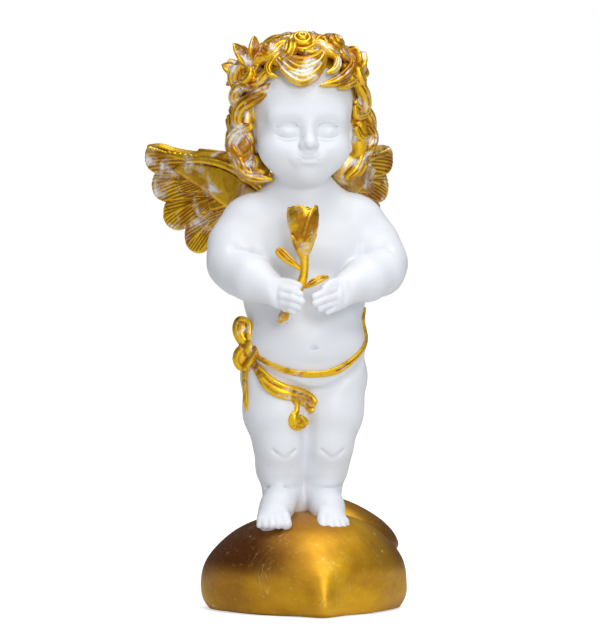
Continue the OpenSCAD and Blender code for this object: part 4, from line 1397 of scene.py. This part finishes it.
def rubbed_gold_group():
    """Gold paint rubbed over white resin: it holds to what stands out."""
    tree, b, given, made = new_group(
        "Rubbed gold paint",
        [
            ("Gold", "NodeSocketColor", (0.8, 0.5, 0.08, 1)),
            ("Shade", "NodeSocketColor", (0.3, 0.13, 0.02, 1)),
            ("White", "NodeSocketColor", (0.82, 0.83, 0.86, 1)),
            ("Cover", "NodeSocketFloat", 0.5),
            ("Grain size", "NodeSocketFloat", 160.0),
            ("Relief scale", "NodeSocketFloat", 12.0),
        ],
        [
            ("Color", "NodeSocketColor"),
            ("Metal", "NodeSocketFloat"),
            ("Roughness", "NodeSocketFloat"),
            ("Height", "NodeSocketFloat"),
        ],
    )
    place = b.add("ShaderNodeTexCoord").outputs["Object"]
    relief = b.add("ShaderNodeAttribute", attribute_name="relief").outputs["Fac"]
    lift = b.math("MULTIPLY", relief, given.outputs["Relief scale"])
    patch = b.noise(place, given.outputs["Grain size"], 5.0, 0.6, 0.6)
    fine = b.noise(place, 900.0, 3.0, 0.6)
    worn = b.math(
        "ADD", b.math("MULTIPLY_ADD", patch, 2.6, -1.3), b.math("MULTIPLY_ADD", fine, 0.5, -0.25)
    )
    worn = b.math("ADD", worn, b.math("MULTIPLY_ADD", given.outputs["Cover"], 2.0, -1.0))
    held = b.math("MULTIPLY", b.math("MINIMUM", b.math("MAXIMUM", lift, -0.8), 0.8), 0.22)
    mask = b.span(b.math("ADD", worn, held), -0.36, 0.26)
    # painted shade: hollows darken the gold towards the Shade colour; random blotches from the
    # smear noise darken it too
    gold_against_shade_and_blotch = b.span(lift, -0.55, 0.5)
    smear = b.span(
        b.noise(place, b.math("MULTIPLY", given.outputs["Grain size"], 0.62), 3.0, 0.6, 0.8), 0.36,
        0.6
    )
    gold_against_shade_and_blotch = b.math("MULTIPLY", gold_against_shade_and_blotch, b.math("MULTIPLY_ADD", smear, 0.75, 0.3))
    tone = b.mix(
        b.span(b.math("ADD", gold_against_shade_and_blotch, b.math("MULTIPLY_ADD", fine, 0.5, -0.25)), 0.05, 0.8),
        given.outputs["Shade"], given.outputs["Gold"]
    )
    b.links.new(b.mix(mask, given.outputs["White"], tone), made.inputs["Color"])
    b.links.new(b.math("MULTIPLY", mask, 0.8), made.inputs["Metal"])
    b.links.new(b.math("MULTIPLY_ADD", fine, 0.22, 0.26), made.inputs["Roughness"])
    b.links.new(
        b.math("ADD", b.math("MULTIPLY", fine, 0.5), b.math("MULTIPLY", mask, 0.6)),
        made.inputs["Height"]
    )
    return tree


def new_material(name):
    material = bpy.data.materials.new(name)
    material.use_nodes = True
    material.node_tree.nodes.clear()
    bench = Bench(material.node_tree)
    shader = bench.add("ShaderNodeBsdfPrincipled")
    out = bench.add("ShaderNodeOutputMaterial")
    bench.links.new(shader.outputs[0], out.inputs[0])
    return material, bench, shader


def rubbed_gold(name, group, finish, cover, grain, relief_scale):
    material, b, shader = new_material(name)
    node = b.add("ShaderNodeGroup", node_tree=group)
    values = {
        "Gold": (*finish.gold, 1), "Shade": (*finish.gold_blotch_and_painted_shade, 1), "White": (*finish.white, 1),
        "Cover": cover, "Grain size": grain, "Relief scale": relief_scale,
    }
    for label, value in values.items():
        node.inputs[label].default_value = value
    b.links.new(node.outputs["Color"], shader.inputs["Base Color"])
    b.links.new(node.outputs["Metal"], shader.inputs["Metallic"])
    b.links.new(node.outputs["Roughness"], shader.inputs["Roughness"])
    b.links.new(b.bump(node.outputs["Height"], 0.35, 0.0002), shader.inputs["Normal"])
    return material


def white_resin(finish):
    material, b, shader = new_material("White resin")
    place = b.add("ShaderNodeTexCoord").outputs["Object"]
    relief = b.add("ShaderNodeAttribute", attribute_name="relief").outputs["Fac"]
    cloud = b.noise(place, 45.0, 4.0, 0.55)
    fine = b.noise(place, 700.0, 3.0, 0.6)
    white = (*finish.white, 1)
    grey = (finish.white[0] * 0.86, finish.white[1] * 0.88, finish.white[2] * 0.92, 1)
    tone = b.mix(b.math("MULTIPLY", cloud, 0.35), white, grey)
    # painted shade: hollows are darkened towards a bluish grey
    painted_hollow_shade = b.span(relief, -0.5, -0.06, 0.4, 0.0)
    shade = tuple(f * w for f, w in zip((0.66, 0.70, 0.80), finish.white))
    tone = b.mix(painted_hollow_shade, tone, (*shade, 1))
    # a few stray specks of gold on the belly, below the rose
    speck = b.add(
        "ShaderNodeTexVoronoi", {"Vector": place, "Scale": 260.0, "Randomness": 1.0}
    ).outputs["Distance"]
    split = b.add("ShaderNodeSeparateXYZ", {"Vector": place})
    low = b.span(split.outputs["Z"], 0.112, 0.116)
    high = b.span(split.outputs["Z"], 0.128, 0.124)
    left = b.span(split.outputs["X"], -0.001, -0.006)
    front = b.span(split.outputs["Y"], -0.018, -0.021)
    where = b.math("MULTIPLY", b.math("MULTIPLY", low, high), b.math("MULTIPLY", left, front))
    rare = b.span(b.noise(place, 300.0, 2.0, 0.5), 0.60, 0.66)
    gold = b.math("MULTIPLY", b.math("MULTIPLY", where, rare), b.span(speck, 0.28, 0.18))
    b.links.new(b.mix(gold, tone, (*finish.gold, 1)), shader.inputs["Base Color"])
    b.links.new(b.math("MULTIPLY_ADD", cloud, 0.12, 0.36), shader.inputs["Roughness"])
    b.links.new(
        b.bump(
            b.math("ADD", b.math("MULTIPLY", cloud, 2.0), b.math("MULTIPLY", fine, 0.35)), 0.22,
            0.0003
        ),
        shader.inputs["Normal"]
    )
    shader.inputs["Subsurface Weight"].default_value = 0.12
    shader.inputs["Subsurface Radius"].default_value = (0.6, 0.65, 0.8)
    shader.inputs["Subsurface Scale"].default_value = 0.003
    shader.inputs["Specular IOR Level"].default_value = 0.42
    return material


def base_gold(finish):
    material, b, shader = new_material("Satin gold base")
    place = b.add("ShaderNodeTexCoord").outputs["Object"]
    drawn = b.add("ShaderNodeMapping", {"Vector": place, "Scale": (1.0, 1.0, 1.7)}).outputs[0]
    cloud = b.noise(drawn, 19.0, 5.0, 0.6, 0.4)
    fine = b.noise(drawn, 420.0, 4.0, 0.65)
    tone = b.mix(b.span(cloud, 0.32, 0.68), (*finish.base_shade, 1), (*finish.base_gold, 1))
    # painted shade: the flanks, the figure's right more than its left, and the upper part are
    # darkened towards dark brown, standing in for dark reflections
    split = b.add("ShaderNodeSeparateXYZ", {"Vector": place})
    right = b.span(split.outputs["X"], 0.002, -0.034, 0.0, 1.0)
    left = b.span(split.outputs["X"], 0.014, 0.044, 0.0, 0.75)
    high = b.span(split.outputs["Z"], 0.012, 0.026)
    painted_flank_shade = b.math("MULTIPLY", b.math("ADD", right, left), b.math("MULTIPLY_ADD", high, 0.95, 0.2))
    tone = b.mix(painted_flank_shade, tone, (0.13, 0.035, 0.002, 1))
    tone = b.mix(b.span(fine, 0.55, 0.75, 0.0, 0.2), tone, (0.95, 0.72, 0.25, 1))
    # hair-thin scratches running in a few directions
    scratch = None
    for turn_by, size, share in ((0.5, 34.0, 0.62), (-0.9, 46.0, 0.66), (1.9, 28.0, 0.66)):
        spun = b.add(
            "ShaderNodeMapping",
            {"Vector": place, "Rotation": (0.3, turn_by, turn_by), "Scale": (1.0, 14.0, 1.0)}
        ).outputs[0]
        line = b.noise(spun, size, 2.0, 0.5, 0.2)
        thin = b.span(b.math("ABSOLUTE", b.math("SUBTRACT", line, 0.5)), 0.006, 0.0)
        gate = b.span(b.noise(place, 38.0 + size, 1.0, 0.5), share - 0.06, share)
        mark = b.math("MULTIPLY", thin, gate)
        scratch = mark if scratch is None else b.math("MAXIMUM", scratch, mark)
    pits = b.add("ShaderNodeTexVoronoi", {"Vector": place, "Scale": 150.0}).outputs["Distance"]
    pit = b.math(
        "MULTIPLY", b.span(pits, 0.16, 0.08), b.span(b.noise(place, 60.0, 1.0, 0.5), 0.58, 0.66)
    )
    tone = b.mix(b.math("MULTIPLY", scratch, 0.35), tone, (0.95, 0.78, 0.42, 1))
    tone = b.mix(b.math("MULTIPLY", pit, 0.7), tone, (0.9, 0.78, 0.5, 1))
    b.links.new(tone, shader.inputs["Base Color"])
    shader.inputs["Metallic"].default_value = 0.62
    b.links.new(
        b.math("ADD", b.math("MULTIPLY_ADD", cloud, 0.16, 0.33), b.math("MULTIPLY", fine, 0.08)),
        shader.inputs["Roughness"]
    )
    height = b.math(
        "ADD", b.math("MULTIPLY", fine, 0.4),
        b.math("SUBTRACT", b.math("MULTIPLY", cloud, 1.2), b.math("MULTIPLY", scratch, 0.8))
    )
    b.links.new(b.bump(height, 0.3, 0.0002), shader.inputs["Normal"])
    return material


def felt():
    material, b, shader = new_material("Black felt")
    place = b.add("ShaderNodeTexCoord").outputs["Object"]
    fibre = b.noise(place, 1600.0, 4.0, 0.7, 1.2)
    b.links.new(
        b.mix(fibre, (0.012, 0.012, 0.014, 1), (0.05, 0.05, 0.055, 1)), shader.inputs["Base Color"]
    )
    shader.inputs["Roughness"].default_value = 0.95
    b.links.new(b.bump(fibre, 0.8, 0.0003), shader.inputs["Normal"])
    return material


def dowel_steel():
    material, b, shader = new_material("Drawn steel")
    place = b.add("ShaderNodeTexCoord").outputs["Object"]
    drawn = b.add("ShaderNodeMapping", {"Vector": place, "Scale": (30.0, 30.0, 1.0)}).outputs[0]
    line = b.noise(drawn, 60.0, 3.0, 0.6)
    b.links.new(
        b.mix(line, (0.5, 0.51, 0.53, 1), (0.68, 0.69, 0.71, 1)), shader.inputs["Base Color"]
    )
    shader.inputs["Metallic"].default_value = 1.0
    b.links.new(b.math("MULTIPLY_ADD", line, 0.2, 0.25), shader.inputs["Roughness"])
    return material


def floor_paper():
    """Paper lit from under for the camera, so that it shows as plain white."""
    material, b, shader = new_material("White paper sweep")
    place = b.add("ShaderNodeTexCoord").outputs["Object"]
    tooth = b.noise(place, 400.0, 2.0, 0.5)
    b.links.new(
        b.mix(tooth, (0.66, 0.66, 0.66, 1), (0.70, 0.70, 0.70, 1)), shader.inputs["Base Color"]
    )
    shader.inputs["Roughness"].default_value = 0.9
    seen = b.add("ShaderNodeLightPath").outputs["Is Camera Ray"]
    b.links.new(b.mix(seen, (0, 0, 0, 1), (1, 1, 1, 1)), shader.inputs["Emission Color"])
    shader.inputs["Emission Strength"].default_value = 0.62
    return material


# ------------------------------------------------------------------ settings
class ANGEL_PG_sizes(bpy.types.PropertyGroup):
    body_detail: FloatProperty(
        name="Body detail", description="Grain of the body's clay", default=0.00055, min=0.0003,
        unit="LENGTH"
    )
    head_detail: FloatProperty(
        name="Head detail", description="Grain of the head's clay", default=0.00036, min=0.0002,
        unit="LENGTH"
    )
    hair_detail: FloatProperty(
        name="Hair detail", description="Grain of the curls' clay", default=0.00036, min=0.0002,
        unit="LENGTH"
    )
    wing_detail: FloatProperty(
        name="Wing detail", description="Grain of the wings' clay", default=0.00036, min=0.0002,
        unit="LENGTH"
    )
    camera_range: FloatProperty(
        name="Camera range", description="Distance from the camera to the figure", default=1.6,
        unit="LENGTH"
    )
    floor_half: FloatProperty(
        name="Floor half width", description="Half the width of the paper floor", default=6.0,
        unit="LENGTH"
    )


class ANGEL_PG_finish(bpy.types.PropertyGroup):
    white: FloatVectorProperty(
        name="White resin", description="Colour of the bare resin", subtype="COLOR",
        default=(0.79, 0.815, 0.86)
    )
    gold: FloatVectorProperty(
        name="Gold paint", description="Gold paint outside the painted shade", subtype="COLOR",
        default=(0.90, 0.55, 0.02)
    )
    # painted shade: this darker gold fills the hollows, and also gives random darker blotches
    gold_blotch_and_painted_shade: FloatVectorProperty(
        name="Gold painted shade and blotches", description="Darker gold for painted shade in grooves and for random blotches", subtype="COLOR",
        default=(0.42, 0.16, 0.008)
    )
    base_gold: FloatVectorProperty(
        name="Base gold", description="Satin gold of the heart base", subtype="COLOR",
        default=(0.80, 0.45, 0.010)
    )
    base_shade: FloatVectorProperty(
        name="Base shade", description="Darker gold of the heart base", subtype="COLOR",
        default=(0.46, 0.20, 0.006)
    )


def sizes():
    return bpy.context.scene.angel_sizes


def finish():
    return bpy.context.scene.angel_finish


def grain_of(name):
    return getattr(sizes(), name) / MM * 1.0


def material_of(name, make, *args):
    return bpy.data.materials.get(name) or make(*args)


GOLD_WEAR = {  # how much paint is left, fineness of the worn patches, pull of the relief on the wear and on the painted shade in hollows
    "Hair gold": (0.59, 135.0, 7.0),
    "Wreath gold": (0.61, 150.0, 7.0),
    "Wing gold": (0.61, 95.0, 5.0),
    "Rose gold": (0.70, 130.0, 6.0),
    "Sash gold": (0.64, 150.0, 6.0),
}


def gold_paint(name):
    group = bpy.data.node_groups.get("Rubbed gold paint") or rubbed_gold_group()
    return material_of(name, rubbed_gold, name, group, finish(), *GOLD_WEAR[name])


# ------------------------------------------------------------------ operators
class ANGEL_OT_base(bpy.types.Operator):
    """Heart base, the small heart behind it, and the felt under it"""

    bl_idname, bl_label = "angel.base", "Base"

    def execute(self, context):
        gold = material_of("Satin gold base", base_gold, finish())
        sculpt_base(gold)
        sculpt_rear_heart(gold)
        finish_cad("felt_pad", material_of("Black felt", felt))
        return {"FINISHED"}


class ANGEL_OT_pins(bpy.types.Operator):
    """Steel dowels in the ankles and behind the wings"""

    bl_idname, bl_label = "angel.pins", "Dowels"

    def execute(self, context):
        steel = material_of("Drawn steel", dowel_steel)
        for name in ("right_ankle_pin", "left_ankle_pin", "right_wing_peg", "left_wing_peg"):
            finish_cad(name, steel)
        return {"FINISHED"}


class ANGEL_OT_figure(bpy.types.Operator):
    """Body, head and arms in white resin"""

    bl_idname, bl_label = "angel.figure", "Figure"

    def execute(self, context):
        white = material_of("White resin", white_resin, finish())
        sculpt_figure(white, grain_of("body_detail"), grain_of("head_detail"))
        return {"FINISHED"}


class ANGEL_OT_hair(bpy.types.Operator):
    """Curls over the crown, forehead, ears and nape"""

    bl_idname, bl_label = "angel.hair", "Hair"

    def execute(self, context):
        gold, step = gold_paint("Hair gold"), grain_of("hair_detail")
        sculpt_crown(gold, step)
        sculpt_forelock(gold, step)
        for s in SIDES:
            sculpt_side_curls(gold, step, s)
        sculpt_nape(gold, step)
        return {"FINISHED"}


class ANGEL_OT_wreath(bpy.types.Operator):
    """Three small roses and two sprigs of leaves in the hair"""

    bl_idname, bl_label = "angel.wreath", "Wreath"

    def execute(self, context):
        gold = gold_paint("Wreath gold")
        step = grain_of("hair_detail")
        sculpt_roses(gold, step * 0.9)
        sculpt_sprigs(gold, step)
        return {"FINISHED"}


class ANGEL_OT_wings(bpy.types.Operator):
    """Pair of feathered wings"""

    bl_idname, bl_label = "angel.wings", "Wings"

    def execute(self, context):
        gold = gold_paint("Wing gold")
        sculpt_wings(gold, grain_of("wing_detail"))
        return {"FINISHED"}


class ANGEL_OT_rose(bpy.types.Operator):
    """Rose held in both hands"""

    bl_idname, bl_label = "angel.rose", "Rose"

    def execute(self, context):
        gold = gold_paint("Rose gold")
        sculpt_rose(gold, grain_of("hair_detail") * 0.9)
        return {"FINISHED"}


class ANGEL_OT_sash(bpy.types.Operator):
    """Band round the hips with its bow and tails"""

    bl_idname, bl_label = "angel.sash", "Sash"

    def execute(self, context):
        gold = gold_paint("Sash gold")
        sculpt_sash(gold, grain_of("hair_detail"))
        return {"FINISHED"}


def finish_cad(name, material):
    """A CAD piece shown as it is, with its own finish."""
    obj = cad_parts[name]
    obj.data.materials.clear()
    obj.data.materials.append(material)


def area_light(name, place, target, size, power):
    data = bpy.data.lights.new(name, "AREA")
    data.shape, data.size, data.size_y = "RECTANGLE", size[0], size[1]
    data.energy = power
    obj = bpy.data.objects.new(name, data)
    obj.location = place
    obj.rotation_mode = "QUATERNION"
    obj.rotation_quaternion = (Vector(target) - Vector(place)).to_track_quat("-Z", "Y")
    bpy.context.scene.collection.objects.link(obj)


def sun_light(name, way, spread, strength):
    data = bpy.data.lights.new(name, "SUN")
    data.energy, data.angle = strength, math.radians(spread)
    obj = bpy.data.objects.new(name, data)
    obj.rotation_mode = "QUATERNION"
    obj.rotation_quaternion = Vector(way).to_track_quat("Z", "Y")
    obj.location = Vector(way)
    bpy.context.scene.collection.objects.link(obj)


def studio_air(strength):
    """Dim air that still shows as white paper behind the figure."""
    world = bpy.data.worlds.new("Studio")
    world.use_nodes = True
    world.node_tree.nodes.clear()
    bench = Bench(world.node_tree)
    seen = bench.add("ShaderNodeLightPath").outputs["Is Camera Ray"]
    level = bench.span(seen, 0.0, 1.0, strength, 1.0)
    air = bench.add("ShaderNodeBackground", {"Color": (1, 1, 1, 1), "Strength": level})
    out = bench.add("ShaderNodeOutputWorld")
    bench.links.new(air.outputs[0], out.inputs[0])
    return world


LENS = 209.0  # camera lens, mm
VIEW_TURN = -11  # where the camera stands round the figure, degrees
VIEW_LIFT = 0.028  # how far the camera stands over its aim, m
AIM_LIFT, AIM_SIDE = 0.0014, 0.0022  # aim against the middle of the figure, m
AIR, KEY, SIDE_FILL, SKY = 0.16, 7.6, 1.6, 2.35  # strengths of the lights


class ANGEL_OT_stage(bpy.types.Operator):
    """Paper floor, soft lights and camera"""

    bl_idname, bl_label = "angel.stage", "Stage"

    def execute(self, context):
        half = sizes().floor_half
        corners = np.array(
            [(-half, -half, 0), (half, -half, 0), (half, half, 0), (-half, half, 0)]
        ) / MM
        floor = make_mesh("floor", corners, [(0, 1, 2, 3)], floor_paper())
        bpy.context.scene.world = studio_air(AIR)
        middle = (0, 0, 0.12)
        area_light("Key", (0.22, -1.3, 0.62), middle, (0.6, 0.6), KEY)
        area_light("Side", (-0.9, -1.1, 0.5), middle, (0.35, 0.8), SIDE_FILL)
        sun_light("Sky", (0.05, -0.2, 1.0), 60, SKY)
        scene = bpy.context.scene
        scene.view_settings.view_transform = "Standard"
        scene.view_settings.look = "None"
        lo, hi = CAD_BOUNDS
        turned = math.radians(VIEW_TURN)
        back = Vector((math.sin(turned), -math.cos(turned), 0.0))
        aim = Vector((0.0, 0.0, (hi.z + lo.z) / 2 + AIM_LIFT))
        across = Vector((-back.y, back.x, 0)) * -1
        aim = aim + across * AIM_SIDE
        camera = bpy.data.cameras.new("Camera")
        camera.sensor_width, camera.lens = 36, LENS
        obj = bpy.data.objects.new("Camera", camera)
        place = Vector((0, 0, aim.z)) + back * sizes().camera_range + Vector((0, 0, VIEW_LIFT))
        obj.location = place + across * AIM_SIDE
        obj.rotation_mode = "QUATERNION"
        obj.rotation_quaternion = (aim - obj.location).to_track_quat("-Z", "Y")
        bpy.context.scene.collection.objects.link(obj)
        scene.camera = obj
        return {"FINISHED"}


STEPS = (ANGEL_OT_base, ANGEL_OT_pins, ANGEL_OT_figure, ANGEL_OT_hair, ANGEL_OT_wreath,
         ANGEL_OT_wings, ANGEL_OT_rose, ANGEL_OT_sash, ANGEL_OT_stage)


class ANGEL_PT_panel(bpy.types.Panel):
    """Sizes, finishes and steps"""

    bl_label, bl_idname = "Angel", "ANGEL_PT_panel"
    bl_space_type, bl_region_type, bl_category = "VIEW_3D", "UI", "Angel"

    def draw(self, context):
        for group in (context.scene.angel_sizes, context.scene.angel_finish):
            for key in group.__annotations__:
                self.layout.prop(group, key)
        for step in STEPS:
            self.layout.operator(step.bl_idname)


CLASSES = (ANGEL_PG_sizes, ANGEL_PG_finish, *STEPS, ANGEL_PT_panel)


def register():
    for cls in CLASSES:
        bpy.utils.register_class(cls)
    bpy.types.Scene.angel_sizes = PointerProperty(type=ANGEL_PG_sizes)
    bpy.types.Scene.angel_finish = PointerProperty(type=ANGEL_PG_finish)


def unregister():
    del bpy.types.Scene.angel_finish
    del bpy.types.Scene.angel_sizes
    for cls in reversed(CLASSES):
        bpy.utils.unregister_class(cls)


def main():
    register()
    for step in STEPS:
        group, name = step.bl_idname.split(".")
        getattr(getattr(bpy.ops, group), name)()


if __name__ == "__main__":
    main()
